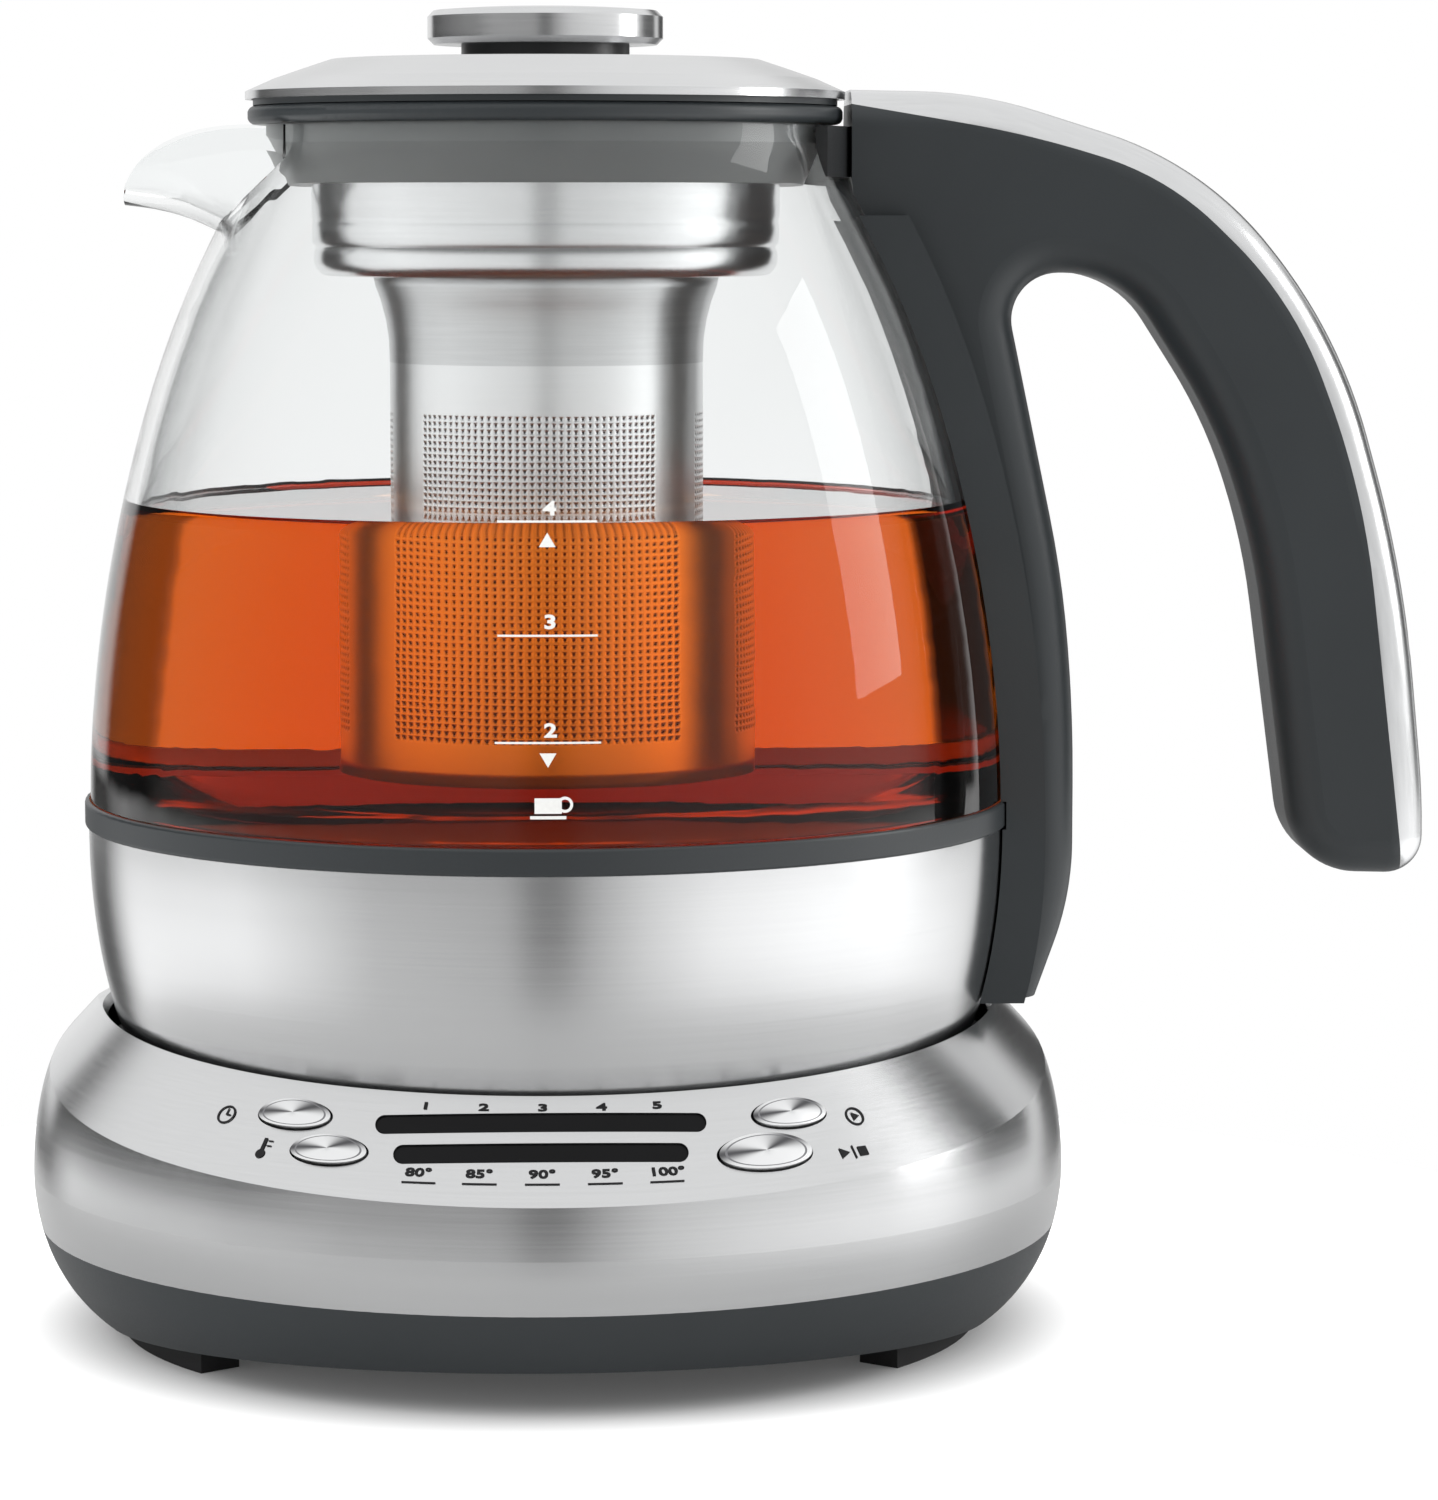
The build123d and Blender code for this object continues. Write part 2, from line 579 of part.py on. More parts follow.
# ---- base: tray and connector ----------------------------------------------------------------------------
def tray_section(inset):
    """Half section of the tray's dish, drawn from the axis, grown outward by inset."""
    wall_r = RECESS_R - TRAY_FIT - TRAY_WALL + inset
    corner_r = TRAY_CORNER_R + inset
    floor_z = TRAY_FLOOR_Z - inset
    centre = (wall_r - corner_r, floor_z + corner_r)
    corner = CenterArc(centre, corner_r, -90, 90)
    edges = Polyline(corner @ 1, (wall_r, SHELL_TOP_Z + BASE_R / 4), (0, SHELL_TOP_Z + BASE_R / 4),
                     (0, floor_z), corner @ 0)
    return make_face([corner] + edges.edges())


def make_seat_tray():
    tray = turned(tray_section(TRAY_WALL)) - turned(tray_section(0))
    tray &= disc(BASE_R, 0, TRAY_LIP_Z)
    tray &= panel_cone(SHELL_WALL + JOIN_GAP)
    tray -= disc(CONNECTOR_R + CONNECTOR_FIT, 0, SHELL_TOP_Z)
    for angle in BASE_SCREW_ANGLES:
        place = at_angle(BASE_SCREW_CIRCLE_R, angle)
        tray += place * disc(TRAY_BOSS_R, BASE_STANDOFF_TOP_Z, TRAY_FLOOR_Z - TRAY_WALL)
        pilot_top = BASE_SCREW_SEAT_Z + BASE_SCREW_LENGTH + SEAT_GAP
        tray -= place * disc(BASE_SCREW_R + PILOT_FIT, 0, pilot_top)
    return tray


def make_base_connector():
    body = disc(CONNECTOR_R, TOWER_TOP_Z, TRAY_FLOOR_Z)
    flange_top = TRAY_FLOOR_Z - TRAY_WALL
    body += disc(CONNECTOR_FLANGE_R, flange_top - CONNECTOR_FLANGE_THICKNESS, flange_top)
    body -= disc(SPINDLE_R + RUN_FIT, TRAY_FLOOR_Z - SPINDLE_LENGTH - SEAT_GAP, SHELL_TOP_Z)
    for radius in CONTACT_RING_RADII:
        half = CONTACT_RING_WIDTH / 2
        body -= ring(radius + half, radius - half, TRAY_FLOOR_Z - CONTACT_RING_DEPTH, SHELL_TOP_Z)
    return body


def make_base_contacts():
    half = CONTACT_RING_WIDTH / 2 - JOIN_GAP
    bottom = TRAY_FLOOR_Z - CONTACT_RING_DEPTH
    contacts = [ring(radius + half, radius - half, bottom, TRAY_FLOOR_Z) for radius in CONTACT_RING_RADII]
    return solids_of(*contacts)


def make_connector_head():
    bottom = TRAY_FLOOR_Z + SEAT_GAP
    head = disc(HEAD_R, bottom, bottom + HEAD_HEIGHT)
    head = fillet(head.edges().sort_by(Axis.Z)[-1], HEAD_EDGE)
    return head + disc(SPINDLE_R, TRAY_FLOOR_Z - SPINDLE_LENGTH, bottom)


# ---- jug: band, bottom and heater --------------------------------------------------------------------------
def band_side(inset):
    """The band's side and bottom corner, from the top down, moved inward by inset."""
    centre = (BAND_R - BAND_CURVE_DEPTH, BAND_TOP_Z)
    drop = BAND_CURVE_DROP - inset
    turn = math.degrees(math.asin((BAND_TOP_Z - BAND_TURN_Z) / drop))
    side = EllipticalCenterArc(centre, BAND_CURVE_DEPTH - inset, drop, -turn, arc_size=turn)
    end = (BAND_BOTTOM_R, JUG_BOTTOM_Z + JOIN_GAP + inset)
    corner = Spline(side @ 0, end, tangents=[(side % 0) * -1, (-1, 0)])
    return side, corner


def band_radius(height):
    """Outer radius of the band's side at a height."""
    fall = (BAND_TOP_Z - height) / BAND_CURVE_DROP
    return BAND_R - BAND_CURVE_DEPTH + BAND_CURVE_DEPTH * math.sqrt(1 - fall ** 2)


def handle_screw_axis(height):
    return Pos(0, 0, height) * Rot(0, 90, 0)


def make_jug_shell():
    outer_side, outer_corner = band_side(0)
    inner_side, inner_corner = band_side(BAND_WALL)
    joins = [Line(outer_side @ 1, inner_side @ 1), Line(outer_corner @ 1, inner_corner @ 1)]
    shell = turned(make_face([outer_side, outer_corner, inner_side, inner_corner] + joins))
    for height in HANDLE_SCREW_HEIGHTS:
        hole = handle_screw_axis(height) * Pos(0, 0, BAND_R) * Cylinder(HANDLE_SCREW_R + SCREW_FIT, BAND_R)
        shell -= hole
    return shell


def make_jug_base_cover():
    """Plastic disc in the bottom of the band, with three posts that carry the heater plate."""
    outer_r = BAND_BOTTOM_R - COVER_FIT
    bore_r = HEAD_R + SOCKET_HEAD_FIT + SOCKET_WALL + COVER_FIT
    cover = ring(outer_r, bore_r, JUG_BOTTOM_Z, JUG_BOTTOM_Z + COVER_THICKNESS)
    post_top = PLATE_TOP_Z - PLATE_THICKNESS
    for angle in COVER_POST_ANGLES:
        place = at_angle(COVER_POST_CIRCLE_R, angle)
        cover += place * disc(COVER_POST_R, JUG_BOTTOM_Z, post_top)
        cover -= place * disc(COVER_SCREW_HEAD_R + SCREW_FIT, 0, JUG_BOTTOM_Z + COVER_SCREW_HEAD_HEIGHT)
        cover -= place * disc(COVER_SCREW_R + PILOT_FIT, 0, JUG_BOTTOM_Z + COVER_SCREW_LENGTH + SEAT_GAP)
    return cover


def make_jug_cover_screws():
    screws = []
    for angle in COVER_POST_ANGLES:
        head_top = JUG_BOTTOM_Z + COVER_SCREW_HEAD_HEIGHT
        screw = disc(COVER_SCREW_HEAD_R, JUG_BOTTOM_Z, head_top)
        screw += disc(COVER_SCREW_R, head_top, JUG_BOTTOM_Z + COVER_SCREW_LENGTH)
        screws.append(at_angle(COVER_POST_CIRCLE_R, angle) * screw)
    return solids_of(*screws)


def make_jug_socket():
    """Bottom connector of the jug: a cup that drops over the base's round head."""
    bore_r = HEAD_R + SOCKET_HEAD_FIT
    outer_r = bore_r + SOCKET_WALL
    seat_z = JUG_BOTTOM_Z + COVER_THICKNESS
    socket = disc(outer_r, JUG_BOTTOM_Z, JUG_BOTTOM_Z + SOCKET_HEIGHT)
    socket += disc(outer_r + SOCKET_FLANGE, seat_z, seat_z + SOCKET_FLANGE_THICKNESS)
    head_top = TRAY_FLOOR_Z + SEAT_GAP + HEAD_HEIGHT
    return socket - disc(bore_r, 0, head_top + SEAT_GAP)


def make_heater_plate():
    inner_wall_r = band_radius(PLATE_TOP_Z) - BAND_WALL
    return disc(inner_wall_r - PLATE_FIT, PLATE_TOP_Z - PLATE_THICKNESS, PLATE_TOP_Z)


def make_heating_element():
    height = PLATE_TOP_Z - PLATE_THICKNESS - ELEMENT_TUBE_R - JOIN_GAP
    profile = Pos(ELEMENT_R, height) * Circle(ELEMENT_TUBE_R)
    return Rot(0, 0, 90) * revolve(Plane.XZ * profile, Axis.Z, ELEMENT_ARC)


def make_temperature_sensor():
    top = PLATE_TOP_Z - PLATE_THICKNESS
    return disc(SENSOR_R, top - SENSOR_HEIGHT, top)


# ---- jug: ring and glass -----------------------------------------------------------------------------------
def glass_points(inset):
    """Points up the glass from the ring's seat to the rim, moved inward by inset."""
    foot_z = BAND_TOP_Z + RING_SEAT_RISE + JOIN_GAP
    points = [(BELLY_R, foot_z), *GLASS_CURVE, (NECK_R, RIM_Z)]
    return [(radius - inset, height) for radius, height in points]


def glass_blank(inset, rise):
    """Everything inside the glass's wall, carried straight up by rise."""
    points = glass_points(inset)
    wall = Spline(*points, tangents=[(0, 1), (0, 1)])
    top_r, top_z = points[-1]
    foot_z = points[0][1]
    rest = Polyline(wall @ 1, (top_r, top_z + rise), (0, top_z + rise), (0, foot_z), wall @ 0)
    return turned(make_face([wall] + rest.edges()))


def spout_blank(inset):
    """The pouring lip as a trough lofted through U-shaped sections."""
    faces = []
    ceiling = RIM_Z + GLASS_WALL
    for reach, low_z, half_width, curve in SPOUT_SECTIONS:
        width = half_width - inset
        low = low_z + inset
        shoulder = low + curve
        bowl = ThreePointArc((-width, shoulder), (0, low), (width, shoulder))
        sides = Polyline((width, shoulder), (width, ceiling), (-width, ceiling), (-width, shoulder))
        plane = Plane(origin=(-reach, 0, 0), x_dir=(0, -1, 0), z_dir=(-1, 0, 0))
        faces.append(plane * make_face([bowl] + sides.edges()))
    return loft(faces)


def above_rim():
    """The space over the glass's rim and over the spout's arched edge."""
    bow_x, bow_z = SPOUT_RIM_BOW
    tip = (-SPOUT_REACH, SPOUT_TIP_Z)
    arch = Spline((-NECK_R, RIM_Z), (-bow_x, bow_z), tip, tangents=[(-1, 0), (-0.3, -1)])
    under_lip_z = SPOUT_SECTIONS[0][1]
    rest = Polyline(
        tip, (-SPOUT_REACH, under_lip_z), (-BIG, under_lip_z), (-BIG, BIG), (BIG, BIG), (BIG, RIM_Z),
        (-NECK_R, RIM_Z))
    return side_prism(make_face([arch] + rest.edges()), BIG / 2)


def make_glass_jug():
    outer = glass_blank(0, GLASS_WALL) + spout_blank(0)
    inner = glass_blank(GLASS_WALL, GLASS_WALL * 4) + spout_blank(GLASS_WALL)
    return outer - inner - above_rim()


def make_jug_ring():
    """Seals the glass to the band: a lip outside the glass, a seat under it and a spigot in the band."""
    seat_z = BAND_TOP_Z + RING_SEAT_RISE
    spigot_r = band_radius(PLATE_TOP_Z) - BAND_WALL - PLATE_FIT
    rim = ring(RING_R, RING_BORE_R, BAND_TOP_Z, BAND_TOP_Z + RING_HEIGHT)
    rim = fillet(rim.edges().filter_by(GeomType.CIRCLE).group_by(SortBy.RADIUS)[-1], RING_EDGE)
    spigot = ring(spigot_r, RING_BORE_R, PLATE_TOP_Z, BAND_TOP_Z)
    return rim + spigot - disc(RING_R - RING_LIP, seat_z, BAND_TOP_Z + RING_HEIGHT * 2)


# ---- jug: handle -----------------------------------------------------------------------------------
def from_belly(points):
    return [(BELLY_R + out, height) for out, height in points]


def lid_clear_r():
    return LID_R + HANDLE_LID_GAP


def rounded_path(points):
    """A chain of straight runs with every corner rounded as widely as its runs allow."""
    radii = []
    for before, corner, after in zip(points, points[1:], points[2:]):
        run_in = Vector(*corner) - Vector(*before)
        run_out = Vector(*after) - Vector(*corner)
        half_turn = math.radians(run_in.get_angle(run_out) / 2)
        radii.append(CORNER_SHARE * min(run_in.length, run_out.length) / math.tan(half_turn))
    return FilletPolyline(*points, radius=radii)


def handle_blank():
    """Spine, grip and trim as one rounded form, running into the jug on its inner side."""
    start = (lid_clear_r(), HANDLE_TOP_Z)
    outline = rounded_path([start, *from_belly(HANDLE_CORNERS)])
    buried_foot = (BAND_R - BRACKET_HALF_WIDTH, HANDLE_BOTTOM_Z)
    rest = Polyline(outline @ 1, buried_foot, (lid_clear_r(), CLIP_BOTTOM_Z), start)
    blank = side_prism(make_face(outline.edges() + rest.edges()), HANDLE_HALF_WIDTH)
    rounded = []
    for edge in blank.edges():
        middle = edge.center()
        is_outline = outline.distance_to(Vertex(middle.X, middle.Z, 0)) < HANDLE_ROUND / 100
        if is_outline and abs(middle.Y) > HANDLE_HALF_WIDTH / 2:
            rounded.append(edge)
    return fillet(rounded, HANDLE_ROUND)


def trim_prism():
    """The space outside the line where the steel trim meets the grip."""
    start = (lid_clear_r(), HANDLE_TOP_Z - TRIM_START_THICKNESS)
    points = [start, *from_belly(TRIM_CORNERS)]
    line = rounded_path(points)
    reach = BELLY_R * 3
    rest = Polyline(line @ 1, (reach, points[-1][1]), (reach, reach), (lid_clear_r(), reach), line @ 0)
    return side_prism(make_face(line.edges() + rest.edges()), BIG / 4)


def jug_clearance(gap):
    """The jug's outside, grown by gap, so that the bracket and handle hug it."""
    side, _ = band_side(-gap)
    rest = Polyline(side @ 1, (0, BAND_TOP_Z), (0, 0), ((side @ 0).X, 0), side @ 0)
    band = turned(make_face([side] + rest.edges()))
    seal = disc(RING_R + gap, BAND_TOP_Z - gap, BAND_TOP_Z + RING_HEIGHT)
    return band + seal + glass_blank(-gap, HANDLE_TOP_Z)


def bracket_line():
    """Outer face of the bracket: the jug's outline moved outward."""
    move = BRACKET_THICKNESS + SEAT_GAP
    band_heights = (HANDLE_BOTTOM_Z, (HANDLE_BOTTOM_Z + BAND_TOP_Z) / 2)
    band_points = [(band_radius(height), height) for height in band_heights]
    outline = [*band_points, (BELLY_R, BAND_TOP_Z + RING_HEIGHT), *GLASS_CURVE[:-1]]
    return Spline(*[(radius + move, height) for radius, height in outline])


def bracket_prism(half_width):
    line = bracket_line()
    top = line @ 1
    foot = line @ 0
    buried_r = NECK_R - CLIP_THICKNESS * 2
    rest = Polyline(top, (buried_r, top.Y), (buried_r, foot.Y), foot)
    return side_prism(make_face([line] + rest.edges()), half_width)


def make_handle_bracket():
    bracket = bracket_prism(BRACKET_HALF_WIDTH) - jug_clearance(SEAT_GAP)
    for height in HANDLE_SCREW_HEIGHTS:
        hole = handle_screw_axis(height) * Pos(0, 0, BAND_R) * Cylinder(HANDLE_SCREW_R + PILOT_FIT, BAND_R)
        bracket -= hole
    return bracket


def handle_cutters():
    """What the handle's upper end stays clear of: the lid, the hanger ring and the neck clip."""
    lid_space = disc(lid_clear_r(), RIM_Z - JOIN_GAP, HANDLE_TOP_Z * 2)
    clip_r = NECK_R + CLIP_THICKNESS + JOIN_GAP * 3
    return lid_space + disc(clip_r, CLIP_BOTTOM_Z - JOIN_GAP, RIM_Z)


def make_handle_grip():
    grip = handle_blank() - trim_prism() - bracket_prism(BIG / 4) - handle_cutters()
    grip -= jug_clearance(SEAT_GAP)
    return grip.solids().sort_by(SortBy.VOLUME)[-1]


def make_handle_trim():
    trim = (handle_blank() & trim_prism()) - handle_cutters()
    return trim.solids().sort_by(SortBy.VOLUME)[-1]


def make_handle_clip():
    outer_r = NECK_R + CLIP_THICKNESS
    clip = arc_section(NECK_R - CLIP_THICKNESS, outer_r, CLIP_BOTTOM_Z, RIM_Z - JOIN_GAP, 0, CLIP_SPAN)
    return clip - jug_clearance(JOIN_GAP)


def make_handle_screws():
    screws = []
    for height in HANDLE_SCREW_HEIGHTS:
        seat = band_radius(height) - BAND_WALL - HANDLE_SCREW_HEAD_GAP
        shank = disc(HANDLE_SCREW_R, seat, seat + HANDLE_SCREW_LENGTH)
        head = disc(HANDLE_SCREW_HEAD_R, seat - HANDLE_SCREW_HEAD_HEIGHT, seat)
        screws.append(handle_screw_axis(height) * (shank + head))
    return solids_of(*screws)


# ---- infuser ---------------------------------------------------------------------------------------
def hanger_bottom():
    return RIM_Z + SEAT_GAP


def hanger_top():
    return hanger_bottom() + HANGER_HEIGHT


def make_infuser_hanger():
    """Dark ring that hangs the infuser on the glass's rim."""
    hanger = ring(HANGER_R, HANGER_BORE_R, hanger_bottom(), hanger_top())
    return fillet(hanger.edges().filter_by(GeomType.CIRCLE).group_by(SortBy.RADIUS)[-1], HANGER_EDGE)


def neck_inner_r():
    return NECK_R - GLASS_WALL


def make_infuser_plug():
    """Translucent plug inside the neck, holding the steel collar."""
    outer_r = neck_inner_r() - PLUG_FIT
    top = hanger_bottom()
    step_z = RIM_Z - PLUG_STEP_DROP
    bore_r = COLLAR_R + JOIN_GAP
    return turned_points(
        (bore_r, PLUG_BOTTOM_Z), (outer_r - PLUG_TAPER, PLUG_BOTTOM_Z), (outer_r, step_z), (outer_r, top),
        (HANGER_BORE_R, top), (HANGER_BORE_R, COLLAR_TOP_Z), (bore_r, COLLAR_TOP_Z))


def collar_section(inset):
    """Half outline of the collar from its top down to its rounded lower corner."""
    upper_r = COLLAR_R - inset
    groove_r = COLLAR_R - COLLAR_GROOVE_DEPTH - inset
    lower_r = COLLAR_LOWER_R - inset
    groove_top = COLLAR_GROOVE_Z + COLLAR_GROOVE_DEPTH * 1.5
    bottom = COLLAR_BOTTOM_Z + inset
    return [(upper_r, COLLAR_TOP_Z), (upper_r, groove_top), (groove_r, COLLAR_GROOVE_Z),
            (lower_r, COLLAR_GROOVE_Z - COLLAR_GROOVE_DEPTH), (lower_r - 1, bottom + COLLAR_BOTTOM_ROUND),
            (lower_r - 1 - COLLAR_BOTTOM_ROUND, bottom)]


def make_infuser_collar():
    mouth_r = BASKET_MOUTH_R - BASKET_WALL
    outer = collar_section(0) + [(mouth_r, COLLAR_BOTTOM_Z)]
    inner = [(mouth_r, COLLAR_BOTTOM_Z + COLLAR_WALL)] + collar_section(COLLAR_WALL)[::-1]
    return turned_points(*outer, *inner)


def basket_wall(inset):
    mouth = (BASKET_MOUTH_R - inset, COLLAR_BOTTOM_Z)
    waist = (BASKET_R - inset, BASKET_WAIST_Z)
    return Spline(mouth, waist, tangents=[(-0.25, -1), (0, -1)])


def make_infuser_basket():
    """Strainer basket with perforated panels round its side."""
    outer = basket_wall(0)
    inner = basket_wall(BASKET_WALL)
    inner_foot = (BASKET_R - BASKET_WALL, BASKET_BOTTOM_Z)
    bottom = Polyline(outer @ 1, (BASKET_R, BASKET_BOTTOM_Z), inner_foot, inner @ 1)
    basket = turned(make_face([outer, inner, Line(outer @ 0, inner @ 0)] + bottom.edges()))
    row_pitch = (STRAINER_TOP_Z - STRAINER_BOTTOM_Z) / (STRAINER_ROWS - 1)
    column_pitch = STRAINER_SPAN / (STRAINER_COLUMNS - 1)
    holes = []
    for panel in range(STRAINER_PANELS):
        middle = panel * 360 / STRAINER_PANELS - 90
        for row in range(STRAINER_ROWS):
            for column in range(STRAINER_COLUMNS):
                turn = middle + column * column_pitch - STRAINER_SPAN / 2
                place = Pos(0, 0, STRAINER_BOTTOM_Z + row * row_pitch) * Rot(0, 0, turn) * Rot(0, 90, 0)
                holes.append(place * Pos(0, 0, BASKET_R) * Cylinder(STRAINER_HOLE_R, BASKET_WALL * 6))
    return basket - holes


def make_infuser_floor():
    """Perforated disc that closes the basket."""
    top = BASKET_BOTTOM_Z + MESH_THICKNESS
    floor = disc(BASKET_R - BASKET_WALL - JOIN_GAP, BASKET_BOTTOM_Z, top)
    holes = []
    for radius, count in MESH_RINGS:
        for number in range(count):
            holes.append(at_angle(radius, number * 360 / count) * disc(STRAINER_HOLE_R, 0, top * 2))
    return floor - holes


# ---- lid -------------------------------------------------------------------------------------------
def liner_bottom():
    return hanger_top() + JOIN_GAP


def lid_edge_z():
    return liner_bottom() + LINER_THICKNESS


def lid_dome(inset):
    edge = (LID_R - inset, lid_edge_z() + LID_EDGE_HEIGHT)
    points = [(LID_R - inset - inward, edge[1] + rise - inset) for inward, rise in LID_DOME]
    return [edge, *points]


def lid_top_z():
    return lid_edge_z() + LID_EDGE_HEIGHT + LID_TOP_RISE


def make_lid_cap():
    outer = lid_dome(0)
    inner = lid_dome(LID_WALL)
    top = lid_top_z()
    screw_r = KNOB_SCREW_R + SCREW_FIT
    return turned_points(
        (LID_R, lid_edge_z()), *outer, (screw_r, top), (screw_r, top - LID_WALL), *inner[::-1],
        (LID_R - LID_WALL, lid_edge_z()))


def make_lid_liner():
    """Dark lid underside: a thin edge over the hanger and a hollow plug inside it."""
    bottom = liner_bottom()
    liner = disc(HANGER_R - LINER_SETBACK, bottom, lid_edge_z())
    cup_bottom = bottom - LINER_PLUG_DEPTH
    liner += disc(LINER_PLUG_R, cup_bottom, bottom)
    liner -= disc(LINER_PLUG_R - LINER_WALL, cup_bottom + LINER_WALL, lid_edge_z() * 2)
    groove_z = bottom - LID_SEAL_DROP
    groove = ring(LINER_PLUG_R + 1, LINER_PLUG_R - LID_SEAL_R, groove_z - LID_SEAL_R, groove_z + LID_SEAL_R)
    return liner - groove


def make_lid_seal():
    """Square-cut silicone ring in the liner's groove."""
    middle = liner_bottom() - LID_SEAL_DROP
    half = LID_SEAL_R - JOIN_GAP
    return ring(HANGER_BORE_R - SEAT_GAP, LINER_PLUG_R - LID_SEAL_R + JOIN_GAP, middle - half, middle + half)


def make_knob_neck():
    bottom = lid_top_z()
    neck = disc(NECK_PIECE_R, bottom, bottom + NECK_PIECE_HEIGHT)
    return neck - disc(KNOB_SCREW_R + SCREW_FIT, 0, bottom * 2)


def make_lid_knob():
    bottom = lid_top_z() + NECK_PIECE_HEIGHT
    top = bottom + KNOB_HEIGHT
    crown_side = (KNOB_R / 2, top + KNOB_CROWN * 0.75)
    crown = ThreePointArc((0, top + KNOB_CROWN), crown_side, (KNOB_R - KNOB_EDGE, top))
    edge = Polyline(crown @ 1, (KNOB_R, top - KNOB_EDGE), (KNOB_R, bottom + KNOB_EDGE),
                    (KNOB_R - KNOB_EDGE, bottom), (0, bottom), crown @ 0)
    knob = turned(make_face([crown] + edge.edges()))
    return knob - disc(KNOB_SCREW_R + PILOT_FIT, 0, bottom + KNOB_SCREW_GRIP)


def make_knob_screw():
    under_cap = lid_top_z() - LID_WALL - JOIN_GAP
    screw = disc(KNOB_SCREW_HEAD_R, under_cap - KNOB_SCREW_HEAD_HEIGHT, under_cap)
    return screw + disc(KNOB_SCREW_R, under_cap, lid_top_z() + NECK_PIECE_HEIGHT + KNOB_SCREW_GRIP - SEAT_GAP)


# ---- assembly --------------------------------------------------------------------------------------
def make_all():
    nodes = {
        "base_shell": make_base_shell(),
        "base_chassis": make_base_chassis(),
        "base_feet": make_base_feet(),
        "base_screws": make_base_screws(),
        "cord_gland": make_cord_gland(),
        "seat_tray": make_seat_tray(),
        "base_connector": make_base_connector(),
        "base_contacts": make_base_contacts(),
        "time_window": make_window(TIME_SLOT_WIDTH, TIME_SLOT_DROP),
        "temperature_window": make_window(TEMPERATURE_SLOT_WIDTH, TEMPERATURE_SLOT_DROP),
        "display_board": make_display_board(),
        "display_leds": make_display_leds(),
        "button_boards": make_button_boards(),
        "tact_switches": make_tact_switches(),
        "power_board": make_power_board(),
        "power_relay": on_power_board(RELAY_SIZE, RELAY_PLACE),
        "power_transformer": on_power_board(TRANSFORMER_SIZE, TRANSFORMER_PLACE),
        "connector_head": make_connector_head(),
        "jug_shell": make_jug_shell(),
        "jug_base_cover": make_jug_base_cover(),
        "jug_cover_screws": make_jug_cover_screws(),
        "jug_socket": make_jug_socket(),
        "heater_plate": make_heater_plate(),
        "heating_element": make_heating_element(),
        "temperature_sensor": make_temperature_sensor(),
        "jug_ring": make_jug_ring(),
        "glass_jug": make_glass_jug(),
        "handle_bracket": make_handle_bracket(),
        "handle_grip": make_handle_grip(),
        "handle_trim": make_handle_trim(),
        "handle_clip": make_handle_clip(),
        "handle_screws": make_handle_screws(),
        "infuser_hanger": make_infuser_hanger(),
        "infuser_plug": make_infuser_plug(),
        "infuser_collar": make_infuser_collar(),
        "infuser_basket": make_infuser_basket(),
        "infuser_floor": make_infuser_floor(),
        "lid_cap": make_lid_cap(),
        "lid_liner": make_lid_liner(),
        "lid_seal": make_lid_seal(),
        "lid_knob": make_lid_knob(),
        "knob_neck": make_knob_neck(),
        "knob_screw": make_knob_screw(),
    }
    for name in BUTTON_LAYOUT:
        nodes[name] = make_button(name)
    return nodes


os.makedirs("parts", exist_ok=True)
for node_name, shape in make_all().items():
    export_step(shape, f"parts/{node_name}.step")
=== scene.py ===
import math
import bpy
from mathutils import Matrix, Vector


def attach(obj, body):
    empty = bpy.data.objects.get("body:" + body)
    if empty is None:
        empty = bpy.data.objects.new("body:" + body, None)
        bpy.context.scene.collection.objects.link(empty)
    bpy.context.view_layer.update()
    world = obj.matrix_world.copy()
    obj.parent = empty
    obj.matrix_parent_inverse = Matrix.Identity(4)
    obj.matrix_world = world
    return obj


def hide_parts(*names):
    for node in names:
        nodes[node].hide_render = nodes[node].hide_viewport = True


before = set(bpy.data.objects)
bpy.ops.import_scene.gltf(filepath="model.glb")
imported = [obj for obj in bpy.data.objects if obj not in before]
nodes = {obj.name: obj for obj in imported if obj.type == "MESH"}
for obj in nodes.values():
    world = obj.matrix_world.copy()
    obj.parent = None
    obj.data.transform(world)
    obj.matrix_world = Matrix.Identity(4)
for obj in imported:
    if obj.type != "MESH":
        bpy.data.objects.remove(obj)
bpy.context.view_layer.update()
MM = 0.001

# ---- camera, in the photograph's place -----------------------------------------------------------
CAMERA_PLACE = (0.0, -0.860, 0.1881)
CAMERA_DOWN = 6.096             # degrees
CAMERA_RIGHT = 1.9245           # degrees
CAMERA_LENS = 122.86            # mm
CAMERA_SENSOR = 36.0            # mm, along the picture's long side

# ---- sizes shared with the solids, in millimetres ------------------------------------------------
PANEL_SLOPE = 47.0
PANEL_SETBACK = 8.0
PANEL_TOP_R = 76.4
SHELL_TOP_Z = 54.2
BELLY_R = 76.8
GLASS_WALL = 2.4
GLASS_FOOT_Z = 86.6
GLASS_CURVE = ((74.4, 119.4), (69.9, 142.6), (61.7, 168.9), (53.7, 186.1), (49.5, 195.0))
PLATE_TOP_Z = 81.2
RING_BORE_R = 71.5

# ---- what only the looks have --------------------------------------------------------------------
TEA_LEVEL = 138.0
SEAM_Z = 161.5                  # the basket's seam
TEA_SINK = 0.8                  # how far the tea reaches into the glass, which hides the gap between them
PRINT_LIFT = 0.12
ROUND_STEPS = 160               # flats round the tea and the collar


